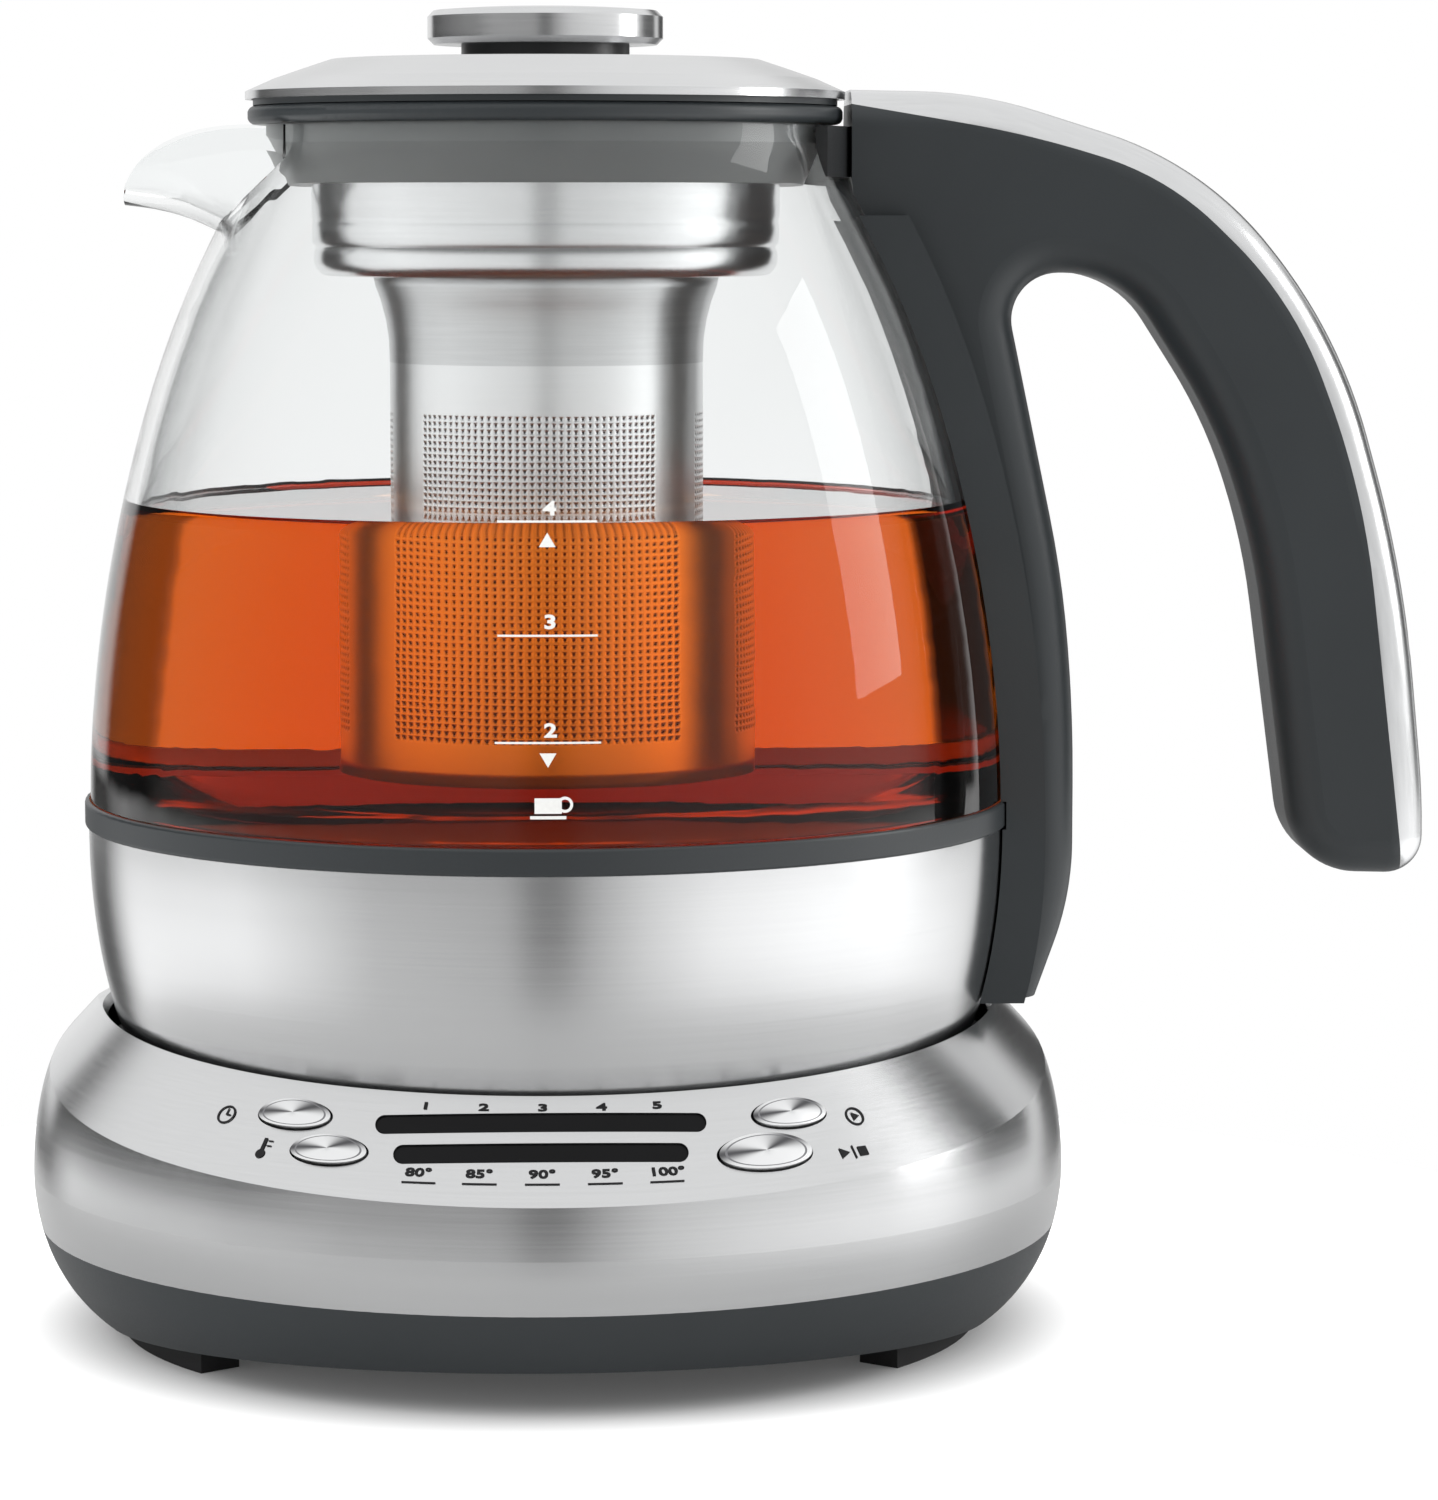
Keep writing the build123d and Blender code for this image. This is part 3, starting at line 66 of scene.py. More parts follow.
# ---- shader helpers ------------------------------------------------------------------------------
class Shader:
    """A node material with short calls for the nodes that this scene uses."""

    def __init__(self, name):
        self.material = bpy.data.materials.new(name)
        self.material.use_nodes = True
        self.tree = self.material.node_tree
        self.bsdf = self.tree.nodes["Principled BSDF"]
        self.output = self.tree.nodes["Material Output"]

    def set(self, **values):
        for key, value in values.items():
            self.put(self.bsdf.inputs[key.replace("_", " ")], value)
        return self

    def put(self, socket, value):
        if isinstance(value, bpy.types.NodeSocket):
            self.tree.links.new(value, socket)
        elif isinstance(value, tuple) and len(value) == 3 and socket.type == "RGBA":
            socket.default_value = (*value, 1.0)
        else:
            socket.default_value = value

    def node(self, kind, *values, **settings):
        made = self.tree.nodes.new("ShaderNode" + kind)
        for key, value in settings.items():
            setattr(made, key, value)
        for number, value in enumerate(values):
            if value is not None:
                self.put(made.inputs[number], value)
        return made

    def math(self, operation, *values, clamp=False):
        return self.node("Math", *values, operation=operation, use_clamp=clamp).outputs[0]

    def place(self):
        return self.node("TexCoord").outputs["Object"]

    def length(self, x, y):
        return self.math("SQRT", self.math("ADD", self.math("MULTIPLY", x, x), self.math("MULTIPLY", y, y)))

    def noise(self, vector, scale, detail=2.0):
        made = self.node("TexNoise")
        self.put(made.inputs["Vector"], vector)
        made.inputs["Scale"].default_value = scale
        made.inputs["Detail"].default_value = detail
        return made.outputs["Fac"]

    def spread(self, value, low, high):
        """A value from 0 to 1 carried to another range."""
        made = self.node("MapRange", value)
        made.inputs["To Min"].default_value = low
        made.inputs["To Max"].default_value = high
        return made.outputs[0]

    def colours(self, factor, first, second):
        made = self.node("Mix", data_type="RGBA")
        self.put(made.inputs[0], factor)
        self.put(made.inputs[6], first)
        self.put(made.inputs[7], second)
        return made.outputs[2]

    def bump(self, height, strength, distance):
        made = self.node("Bump")
        made.inputs["Strength"].default_value = strength
        made.inputs["Distance"].default_value = distance
        self.put(made.inputs["Height"], height)
        self.put(self.bsdf.inputs["Normal"], made.outputs[0])
        return self


# brushing, in waves per metre across it, per turn along it on turned steel, and per metre on straight steel
BRUSH_ACROSS = 2600.0
BRUSH_PER_TURN = 1.6
BRUSH_ALONG = 160.0
BRUSH_BUMP = (0.05, 0.00005)    # strength, and distance in metres
GRAIN_SCALE = 2600.0            # per metre
GRAIN_DISTANCE = 0.0001


def turned_streaks(shader):
    """Noise drawn out round the Z axis, as brushing on a lathe leaves it."""
    split = shader.node("SeparateXYZ", shader.place())
    x, y, z = split.outputs
    radius = shader.length(x, y)
    safe = shader.math("MAXIMUM", radius, 0.001)
    along_x = shader.math("MULTIPLY", shader.math("DIVIDE", x, safe), BRUSH_PER_TURN)
    along_y = shader.math("MULTIPLY", shader.math("DIVIDE", y, safe), BRUSH_PER_TURN)
    vector = shader.node("CombineXYZ", along_x, along_y, shader.math("MULTIPLY", radius, BRUSH_ACROSS))
    noise = shader.node("TexNoise", noise_dimensions="4D")
    shader.put(noise.inputs["Vector"], vector.outputs[0])
    shader.put(noise.inputs["W"], shader.math("MULTIPLY", z, BRUSH_ACROSS))
    noise.inputs["Scale"].default_value = 1.0
    noise.inputs["Detail"].default_value = 3.0
    noise.inputs["Roughness"].default_value = 0.6
    return noise.outputs["Fac"]


def brushed_steel(name, tone=(0.64, 0.645, 0.65), roughness=0.24, turned=True, anisotropy=0.75):
    """Brushed steel whose blur runs up and down, so that what it mirrors stays sharp round the part."""
    shader = Shader(name)
    if turned:
        streaks = turned_streaks(shader)
    else:
        stretched = shader.node("Mapping", shader.place())
        stretched.inputs["Scale"].default_value = (BRUSH_ALONG, BRUSH_ACROSS, BRUSH_ALONG)
        streaks = shader.noise(stretched.outputs[0], 1.0, detail=3.0)
    cloud = shader.noise(shader.place(), 28.0)
    dark = tuple(0.93 * part for part in tone)
    light = tuple(min(1.0, 1.05 * part) for part in tone)
    shader.set(Metallic=1.0, Base_Color=shader.colours(streaks, dark, light))
    worn = shader.math("ADD", shader.spread(streaks, -0.04, 0.04), shader.spread(cloud, -0.02, 0.02))
    shader.set(Roughness=shader.math("ADD", worn, roughness))
    shader.bsdf.inputs["Anisotropic"].default_value = anisotropy
    shader.bsdf.inputs["Anisotropic Rotation"].default_value = 0.25
    if turned:
        tangent = shader.node("Tangent", direction_type="RADIAL", axis="Z")
        shader.set(Tangent=tangent.outputs[0])
    return shader.bump(streaks, *BRUSH_BUMP).material


def moulded(name, colour, roughness=0.42, grain=0.10):
    """Moulded plastic with a fine texture and slight unevenness."""
    shader = Shader(name)
    fine = shader.noise(shader.place(), GRAIN_SCALE)
    broad = shader.noise(shader.place(), 45.0)
    dark = tuple(0.90 * part for part in colour)
    light = tuple(1.12 * part for part in colour)
    shader.set(Base_Color=shader.colours(broad, dark, light))
    uneven = shader.math("ADD", shader.spread(fine, -0.05, 0.05), shader.spread(broad, -0.04, 0.04))
    shader.set(Roughness=shader.math("ADD", uneven, roughness))
    return shader.bump(fine, grain, GRAIN_DISTANCE).material


def ring_plastic():
    """Slate plastic, with a pale satin face where the ring looks inwards through the glass."""
    shader = Shader("ring_plastic")
    fine = shader.noise(shader.place(), GRAIN_SCALE)
    x, y, _ = shader.node("SeparateXYZ", shader.place()).outputs
    level = shader.node("CombineXYZ", x, y).outputs[0]
    outward = shader.node("VectorMath", level, operation="NORMALIZE").outputs[0]
    normal = shader.node("TexCoord").outputs["Normal"]
    facing = shader.node("VectorMath", outward, normal, operation="DOT_PRODUCT").outputs["Value"]
    inside = shader.math("LESS_THAN", facing, -0.2)
    slate = shader.colours(fine, (0.022, 0.026, 0.029), (0.027, 0.032, 0.035))
    shader.set(Base_Color=shader.colours(inside, slate, (0.80, 0.78, 0.74)), Roughness=0.42)
    return shader.bump(fine, 0.10, GRAIN_DISTANCE).material


def strainer_steel():
    """The basket's satin steel: brushed above its seam, finer below it, and painted brighter below the tea's
    level as a glow of the light that comes through the tea.

    The bright part goes up with the basket when it is lifted out.
    """
    shader = Shader("strainer_steel")
    streaks = turned_streaks(shader)
    height = shader.node("SeparateXYZ", shader.place()).outputs[2]
    line, fade = TEA_LEVEL * MM, 0.001
    # painted glow: below the tea's level the steel is painted brighter, standing in for light that comes
    # through the tea
    painted_glow_mask = shader.node("MapRange", height, line - fade, line + fade, 1.0, 0.0).outputs[0]
    brushed = shader.colours(streaks, (0.52, 0.525, 0.53), (0.66, 0.665, 0.67))
    fine = shader.colours(streaks, (0.74, 0.745, 0.75), (0.80, 0.805, 0.81))
    plain_steel = shader.colours(shader.math("GREATER_THAN", height, SEAM_Z * MM), fine, brushed)
    painted_glow = shader.colours(streaks, (0.96, 0.95, 0.92), (1.0, 1.0, 0.98))
    shader.set(Metallic=1.0, Base_Color=shader.colours(painted_glow_mask, plain_steel, painted_glow))
    shader.set(Roughness=shader.spread(streaks, 0.26, 0.34))
    return shader.bump(streaks, *BRUSH_BUMP).material


def let_lamps_through(shader, tint):
    """Light from lamps passes the surface straight, tinted, so that what is behind it is lit."""
    path = shader.node("LightPath")
    clear = shader.node("BsdfTransparent", tint)
    mix = shader.node("MixShader")
    shader.put(mix.inputs[0], path.outputs["Is Shadow Ray"])
    shader.put(mix.inputs[1], shader.bsdf.outputs[0])
    shader.put(mix.inputs[2], clear.outputs[0])
    shader.put(shader.output.inputs["Surface"], mix.outputs[0])


def clear_glass():
    """Clear glass whose colour darkens towards its outline, a painted shade for the dark edges that thick
    glass shows before a pale background.
    """
    shader = Shader("jug_glass")
    # painted shade: the glass's colour darkens where it faces away from the view
    rim = shader.node("LayerWeight", 0.35).outputs["Facing"]
    edge = shader.math("POWER", rim, 4.2)
    shader.set(Base_Color=shader.colours(edge, (0.95, 0.96, 0.96), (0.015, 0.02, 0.02)))
    shader.set(Transmission_Weight=1.0, IOR=1.45)
    shader.set(Specular_IOR_Level=0.25, Specular_Tint=(0.35, 0.35, 0.35))
    haze = shader.noise(shader.place(), 60.0)
    shader.set(Roughness=shader.spread(haze, 0.0, 0.012))
    let_lamps_through(shader, (0.97, 0.98, 0.975))
    return shader.material


def brewed_tea():
    """Tea, coloured by its depth. It mirrors nothing, because the glass that it reaches into does."""
    shader = Shader("brewed_tea")
    shader.set(Base_Color=(1.0, 1.0, 1.0), Transmission_Weight=1.0, IOR=1.333)
    shader.set(Specular_IOR_Level=0.0, Specular_Tint=(0.0, 0.0, 0.0))
    swirl = shader.noise(shader.place(), 30.0)
    shader.set(Roughness=shader.spread(swirl, 0.0, 0.02))
    volume = shader.node("VolumeAbsorption", (0.953, 0.606, 0.021), 47.0)
    shader.put(shader.output.inputs["Volume"], volume.outputs[0])
    let_lamps_through(shader, (1.0, 1.0, 1.0))
    return shader.material


def smoked_window():
    shader = Shader("smoked_window")
    cloud = shader.noise(shader.place(), 90.0)
    shader.set(Base_Color=shader.colours(cloud, (0.003, 0.003, 0.003), (0.006, 0.006, 0.007)))
    shader.set(Roughness=shader.spread(cloud, 0.22, 0.30), Specular_IOR_Level=0.12)
    return shader.material


def smoke_plug():
    shader = Shader("smoke_plug")
    cloud = shader.noise(shader.place(), 55.0)
    shader.set(Base_Color=shader.colours(cloud, (0.23, 0.24, 0.24), (0.29, 0.30, 0.30)))
    shader.set(Roughness=shader.spread(cloud, 0.28, 0.36), Transmission_Weight=0.35, IOR=1.4)
    return shader.material


def circuit_board():
    shader = Shader("circuit_board")
    tracks = shader.noise(shader.place(), 420.0, detail=0.0)
    edge = shader.math("GREATER_THAN", tracks, 0.56)
    shader.set(Base_Color=shader.colours(edge, (0.01, 0.10, 0.035), (0.02, 0.17, 0.06)), Roughness=0.38)
    return shader.bump(edge, 0.3, 0.00004).material


def plain_metal(name, tone, roughness):
    shader = Shader(name)
    scratches = shader.noise(shader.place(), 900.0, detail=3.0)
    dark = tuple(0.85 * part for part in tone)
    shader.set(Metallic=1.0, Base_Color=shader.colours(scratches, dark, tone))
    shader.set(Roughness=shader.spread(scratches, roughness - 0.06, roughness + 0.06))
    return shader.bump(scratches, 0.1, 0.00003).material


def print_ink(name, colour):
    shader = Shader(name)
    wear = shader.noise(shader.place(), 1500.0)
    paler = tuple(min(1.0, part * 1.15 + 0.01) for part in colour)
    shader.set(Base_Color=shader.colours(wear, colour, paler), Roughness=0.6, Specular_IOR_Level=0.15)
    return shader.material


# ---- the panel's surface -------------------------------------------------------------------------
def panel_point(angle, drop, lift=0.0):
    """A point on the control panel: degrees round it and millimetres down its slope."""
    turn, slope = math.radians(angle), math.radians(PANEL_SLOPE)
    reach = PANEL_TOP_R + drop * math.cos(slope) + lift * math.sin(slope)
    height = SHELL_TOP_Z - drop * math.sin(slope) + lift * math.cos(slope)
    return Vector((reach * math.sin(turn), PANEL_SETBACK - reach * math.cos(turn), height)) * MM


def glass_radius(height):
    """Outer radius of the glass at a height, in millimetres."""
    points = ((BELLY_R, GLASS_FOOT_Z), *GLASS_CURVE)
    return smooth_through(points, height)


def smooth_through(points, height):
    """A smooth curve through (radius, height) points, upright at the first one."""
    slopes = [0.0]
    for before, here, after in zip(points, points[1:], points[2:]):
        slopes.append((after[0] - before[0]) / (after[1] - before[1]))
    slopes.append((points[-1][0] - points[-2][0]) / (points[-1][1] - points[-2][1]))
    height = min(max(height, points[0][1]), points[-1][1])
    for number, (low, high) in enumerate(zip(points, points[1:])):
        if height <= high[1]:
            break
    span = high[1] - low[1]
    t = (height - low[1]) / span
    first = (2 * t ** 3 - 3 * t ** 2 + 1) * low[0] + (3 * t ** 2 - 2 * t ** 3) * high[0]
    second = (t ** 3 - 2 * t ** 2 + t) * slopes[number] + (t ** 3 - t ** 2) * slopes[number + 1]
    return first + second * span


# ---- mesh helpers --------------------------------------------------------------------------------
def new_piece(name, vertices, faces, material, body, smooth=True):
    mesh = bpy.data.meshes.new(name)
    mesh.from_pydata(vertices, [], faces)
    mesh.validate()
    for polygon in mesh.polygons:
        polygon.use_smooth = smooth
    mesh.materials.append(material)
    piece = bpy.data.objects.new(name, mesh)
    bpy.context.scene.collection.objects.link(piece)
    if body:
        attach(piece, body)
    return piece


def lathe(profile, steps):
    """Vertices and faces of a closed (radius, height) outline turned about Z. Millimetres in, metres out."""
    vertices, faces = [], []
    rings = []
    for radius, height in profile:
        if rings and (radius, height) == profile[0]:
            rings.append(rings[0])
            continue
        if radius < 1e-6:
            rings.append([len(vertices)] * steps)
            vertices.append((0.0, 0.0, height * MM))
            continue
        rings.append(list(range(len(vertices), len(vertices) + steps)))
        for step in range(steps):
            turn = 2 * math.pi * step / steps
            vertices.append((radius * math.cos(turn) * MM, radius * math.sin(turn) * MM, height * MM))
    for lower, upper in zip(rings, rings[1:]):
        for step in range(steps):
            after = (step + 1) % steps
            corners = [lower[step], lower[after], upper[after], upper[step]]
            unique = list(dict.fromkeys(corners))
            if len(unique) > 2:
                faces.append(unique)
    return vertices, faces


def text_shape(words, size, bold=0.05, wide=1.0):
    """Flat vertices and faces of a word, centred on the origin, with capitals about size high."""
    curve = bpy.data.curves.new("word", "FONT")
    curve.body = words
    curve.size = size * 1.4
    curve.align_x = "CENTER"
    curve.align_y = "CENTER"
    curve.resolution_u = 3
    curve.offset = size * bold
    holder = bpy.data.objects.new("word", curve)
    bpy.context.scene.collection.objects.link(holder)
    bpy.context.view_layer.update()
    mesh = bpy.data.meshes.new_from_object(holder)
    points = [(vertex.co.x * wide, vertex.co.y, 0.0) for vertex in mesh.vertices]
    faces = [tuple(polygon.vertices) for polygon in mesh.polygons]
    bpy.data.objects.remove(holder)
    bpy.data.meshes.remove(mesh)
    bpy.data.curves.remove(curve)
    return points, faces


def bar_shape(width, height, x=0.0, y=0.0, steps=8):
    """A flat bar, cut into short lengths so that it can follow a curved surface."""
    points, faces = [], []
    for step in range(steps + 1):
        across = x - width / 2 + width * step / steps
        points += [(across, y - height / 2, 0.0), (across, y + height / 2, 0.0)]
    for step in range(steps):
        first = 2 * step
        faces.append((first, first + 2, first + 3, first + 1))
    return points, faces


def polygon_shape(corners):
    return [(x, y, 0.0) for x, y in corners], [tuple(range(len(corners)))]


def ring_shape(outer, inner, steps=28):
    points, faces = [], []
    for step in range(steps):
        turn = 2 * math.pi * step / steps
        for radius in (outer, inner):
            points.append((radius * math.cos(turn), radius * math.sin(turn), 0.0))
    for step in range(steps):
        after = (step + 1) % steps
        faces.append((2 * step, 2 * after, 2 * after + 1, 2 * step + 1))
    return points, faces


def printed(name, shapes, place, material, body):
    """One piece of ink from flat shapes, each laid on a surface by place(u, v, dx, dy)."""
    vertices, faces = [], []
    for (points, polygons), u, v in shapes:
        start = len(vertices)
        vertices += [tuple(place(u, v, x, y)) for x, y, _ in points]
        faces += [tuple(start + index for index in polygon) for polygon in polygons]
    return new_piece(name, vertices, faces, material, body, smooth=False)


# ---- tea -----------------------------------------------------------------------------------------
TEA_CLEARANCE = (0.1, 0.15)     # from the ring's bore and from the plate
TEA_BORE_TOP_Z = 85.6           # where the tea leaves the ring's bore
TEA_FOOT_Z = (86.4, 87.6)       # where its rounded foot begins and ends
TEA_FOOT_ROUND = 1.2
TEA_WALL_STEPS = 24
MENISCUS_RISE = 0.9
# in from the glass and up from the level
MENISCUS = ((TEA_SINK + 0.15, 0.75), (1.3, 0.4), (2.0, 0.15), (3.2, 0.03), (5.5, 0.0))


def make_tea():
    """The tea, from the heater plate up to its level, with a rim that climbs the glass a little."""
    bore, bottom = RING_BORE_R - TEA_CLEARANCE[0], PLATE_TOP_Z + TEA_CLEARANCE[1]
    profile = [(0.0, bottom), (bore, bottom), (bore, TEA_BORE_TOP_Z)]
    foot = glass_radius(GLASS_FOOT_Z) - GLASS_WALL + TEA_SINK
    round_from, round_to = TEA_FOOT_Z
    profile += [(foot - TEA_FOOT_ROUND, round_from), (foot, round_to)]
    for step in range(1, TEA_WALL_STEPS + 1):
        height = round_to + (TEA_LEVEL + MENISCUS_RISE - round_to) * step / TEA_WALL_STEPS
        profile.append((glass_radius(height) - GLASS_WALL + TEA_SINK, height))
    wall = profile[-1][0]
    for inward, rise in MENISCUS:
        profile.append((wall - inward, TEA_LEVEL + rise))
    profile.append((0.0, TEA_LEVEL))
    vertices, faces = lathe(profile, ROUND_STEPS)
    new_piece("tea", vertices, faces, brewed_tea(), "jug")


# ---- marks printed on the glass ------------------------------------------------------------------
def on_glass(u, v, x, y):
    """A point on the glass's outside at height v, x across from its front and y up."""
    height = v + y
    radius = glass_radius(height) + PRINT_LIFT
    turn = (u + x) / radius
    return Vector((radius * math.sin(turn), -radius * math.cos(turn), height)) * MM


CUP_DIGITS = (("4", 141.2), ("3", 123.9), ("2", 107.3))            # with their heights
CUP_BARS = ((15.5, 121.9), (16.4, 105.5), (15.5, 139.3))           # width and height
CUP_DIGIT_X = 0.4
MAX_Z, MIN_Z, CUP_Z = 136.4, 102.9, 95.6                           # the two triangles and the cup


def make_glass_marks():
    """Cup marks from 2 to 4, triangles for the most and the least, and a cup."""
    shapes = []
    for number, height in CUP_DIGITS:
        shapes.append((text_shape(number, 2.1, wide=1.35), CUP_DIGIT_X, height))
    for width, height in CUP_BARS:
        shapes.append((bar_shape(width, 0.32), 0.0, height))
    up = polygon_shape(((-1.3, -1.0), (1.3, -1.0), (0.0, 1.2)))
    down = polygon_shape(((-1.3, 1.0), (0.0, -1.2), (1.3, 1.0)))
    shapes.append((up, 0.0, MAX_Z))
    shapes.append((down, 0.0, MIN_Z))
    saucer, bowl, handle = bar_shape(5.6, 0.5, 0, -1.6), bar_shape(4.2, 2.4, 0, 0.2, 3), ring_shape(1.25, 0.8)
    shapes += [(saucer, 0.0, CUP_Z), (bowl, 0.0, CUP_Z), (handle, 2.6, CUP_Z + 0.4)]
    ink = print_ink("white_ink", (0.82, 0.82, 0.80))
    printed("glass_marks", shapes, on_glass, ink, "jug")


# ---- marks printed on the panel ------------------------------------------------------------------
def on_panel(u, v, x, y):
    """A point on the panel: u degrees round it, v down it, then x across and y up the slope."""
    reach = PANEL_TOP_R + (v - y) * math.cos(math.radians(PANEL_SLOPE))
    return panel_point(u + math.degrees(x / reach), v - y, PRINT_LIFT)


def panel_angle(x, drop):
    """The angle round the panel at which a point lies x across from the middle."""
    reach = PANEL_TOP_R + drop * math.cos(math.radians(PANEL_SLOPE))
    return math.degrees(math.asin(x / reach))


# across the panel and down its slope, in millimetres, and for the icons in degrees and millimetres
TIMES_X = (-19.3, -10.2, -1.0, 8.2, 16.9)
TIMES_DROP = 8.2
TIMES_ROW = 8.7                 # the row whose reach sets the times' angles
TEMPERATURES_X = (-20.2, -10.8, -1.1, 8.6, 18.2)
TEMPERATURES_DROP = 20.4
UNDERLINES_DROP = 22.2
COOLEST, WARMER_BY = 80, 5      # degrees Celsius
CLOCK_PLACE = (-36.8, 12.6)
THERMOMETER_PLACE = (-30.4, 18.9)
START_PLACE = (34.4, 13.2)
CANCEL_PLACE = (32.1, 19.6)


def make_panel_print():
    """Plain numbers over the time window and under the temperature window, and an icon beside each button."""
    shapes = []
    for number, x in enumerate(TIMES_X):
        word = text_shape(str(number + 1), 1.25, wide=1.9)
        shapes.append((word, panel_angle(x, TIMES_ROW), TIMES_DROP))
    for number, x in enumerate(TEMPERATURES_X):
        word = text_shape(f"{COOLEST + WARMER_BY * number}°", 1.45, wide=1.5)
        shapes.append((word, panel_angle(x, TEMPERATURES_DROP), TEMPERATURES_DROP))
        shapes.append((bar_shape(5.4, 0.3), panel_angle(x, UNDERLINES_DROP), UNDERLINES_DROP))
    clock = [ring_shape(1.7, 1.35), bar_shape(0.3, 1.2, 0, 0.55, 1), bar_shape(0.9, 0.3, 0.4, 0, 1)]
    shapes += [(shape, *CLOCK_PLACE) for shape in clock]
    thermometer = [ring_shape(0.85, 0.0), bar_shape(0.65, 2.8, 0, 1.5, 1), bar_shape(0.9, 0.25, 1.0, 2.4, 1),
                   bar_shape(0.9, 0.25, 1.0, 1.5, 1)]
    shapes += [(shape, *THERMOMETER_PLACE) for shape in thermometer]
    start = [clock[0], polygon_shape(((-0.5, -0.8), (0.9, 0.0), (-0.5, 0.8)))]
    shapes += [(shape, *START_PLACE) for shape in start]
    cancel = [polygon_shape(((-2.4, -1.0), (-0.6, 0.0), (-2.4, 1.0))), bar_shape(0.3, 2.4, 0.2, 0, 1),
              bar_shape(1.7, 1.7, 1.9, 0, 2)]
    shapes += [(shape, *CANCEL_PLACE) for shape in cancel]
    ink = print_ink("dark_ink", (0.010, 0.010, 0.011))
    printed("panel_print", shapes, on_panel, ink, "base")


# ---- buttons -------------------------------------------------------------------------------------
# degrees round the panel, then millimetres down it, across the button and up it
BUTTON_LAYOUT = {
    "steep_time_button": (-28.3, 11.3, 12.9, 5.2),
    "temperature_button": (-22.9, 17.3, 12.9, 5.2),
    "start_timer_button": (26.6, 11.4, 12.9, 5.2),
    "start_cancel_button": (22.3, 18.1, 15.8, 6.5),
}
SPUN_RINGS = 95.0               # radians of ripple from a button's middle to its rim
RIM_GROOVE = (0.86, 0.025)      # place and half width, as shares of the button's reach
# dark wedges painted on each button, standing in for the bow-tie reflection of spun steel
PAINTED_REFLECTION_WEDGES = ((178.0, 9.0), (48.0, 7.0))     # direction in degrees, and narrowness


def spun_button(name):
    """Spun steel: fine rings round the button's middle, a groove near its rim and two darker wedges, which
    are a painted reflection.
    """
    angle, drop, width, height = BUTTON_LAYOUT[name]
    turn, slope = math.radians(angle), math.radians(PANEL_SLOPE)
    level = Vector((math.cos(turn), math.sin(turn), 0.0))
    normal = Vector((math.sin(turn) * math.sin(slope), -math.cos(turn) * math.sin(slope), math.cos(slope)))
    upward = normal.cross(level)
    shader = Shader("spun_" + name)
    offset = shader.node("VectorMath", shader.place(), tuple(panel_point(angle, drop)), operation="SUBTRACT")

    def share(axis, size):
        """How far out a point lies along an axis, as a share of half the button's size."""
        scaled = tuple(axis / (size * MM / 2))
        return shader.node("VectorMath", offset.outputs[0], scaled, operation="DOT_PRODUCT").outputs["Value"]

    x, y = share(level, width), share(upward, height)
    radius = shader.length(x, y)
    turned_by = shader.math("ARCTAN2", y, x)
    rings = shader.math("SINE", shader.math("MULTIPLY", radius, SPUN_RINGS))
    from_groove = shader.math("ABSOLUTE", shader.math("SUBTRACT", radius, RIM_GROOVE[0]))
    groove = shader.math("LESS_THAN", from_groove, RIM_GROOVE[1])
    reflection_wedges = []
    for towards, narrow in PAINTED_REFLECTION_WEDGES:
        facing = shader.math("COSINE", shader.math("SUBTRACT", turned_by, math.radians(towards)))
        reflection_wedges.append(shader.math("POWER", shader.math("MAXIMUM", facing, 0.0), narrow))
    # the wedges darken the steel's colour: a painted reflection
    painted_reflection = shader.math("ADD", *reflection_wedges, clamp=True)
    tone = shader.colours(painted_reflection, (0.80, 0.805, 0.81), (0.10, 0.10, 0.105))
    shader.set(Metallic=1.0, Base_Color=shader.colours(groove, tone, (0.22, 0.22, 0.23)), Roughness=0.3)
    return shader.bump(rings, 0.15, 0.00003).material


# ---- strainer basket -----------------------------------------------------------------------------
BASKET_R = 26.2
BASKET_WALL = 0.5
BASKET_BOTTOM_Z = 93.3
BASKET_FOOT_STEPS = 3
HOLES_FROM_Z, HOLES_TO_Z = 99.9, 153.5
HOLE_ROWS, HOLE_COLUMNS, HOLE_PANELS = 50, 36, 3
PANEL_SPAN, PANELS_TURNED_BY = 94.0, -4.0      # degrees
STRIP_STEPS = 4
HOLE = 0.22                     # half a hole's diagonal, as a share of its cell
# the plain wall above the holes, which flares towards the collar: height and radius
FLARE = ((157.0, BASKET_R), (SEAM_Z, BASKET_R), (165.0, 26.3), (168.5, 26.8), (171.5, 27.6), (174.0, 28.5),
         (175.8, 28.9))


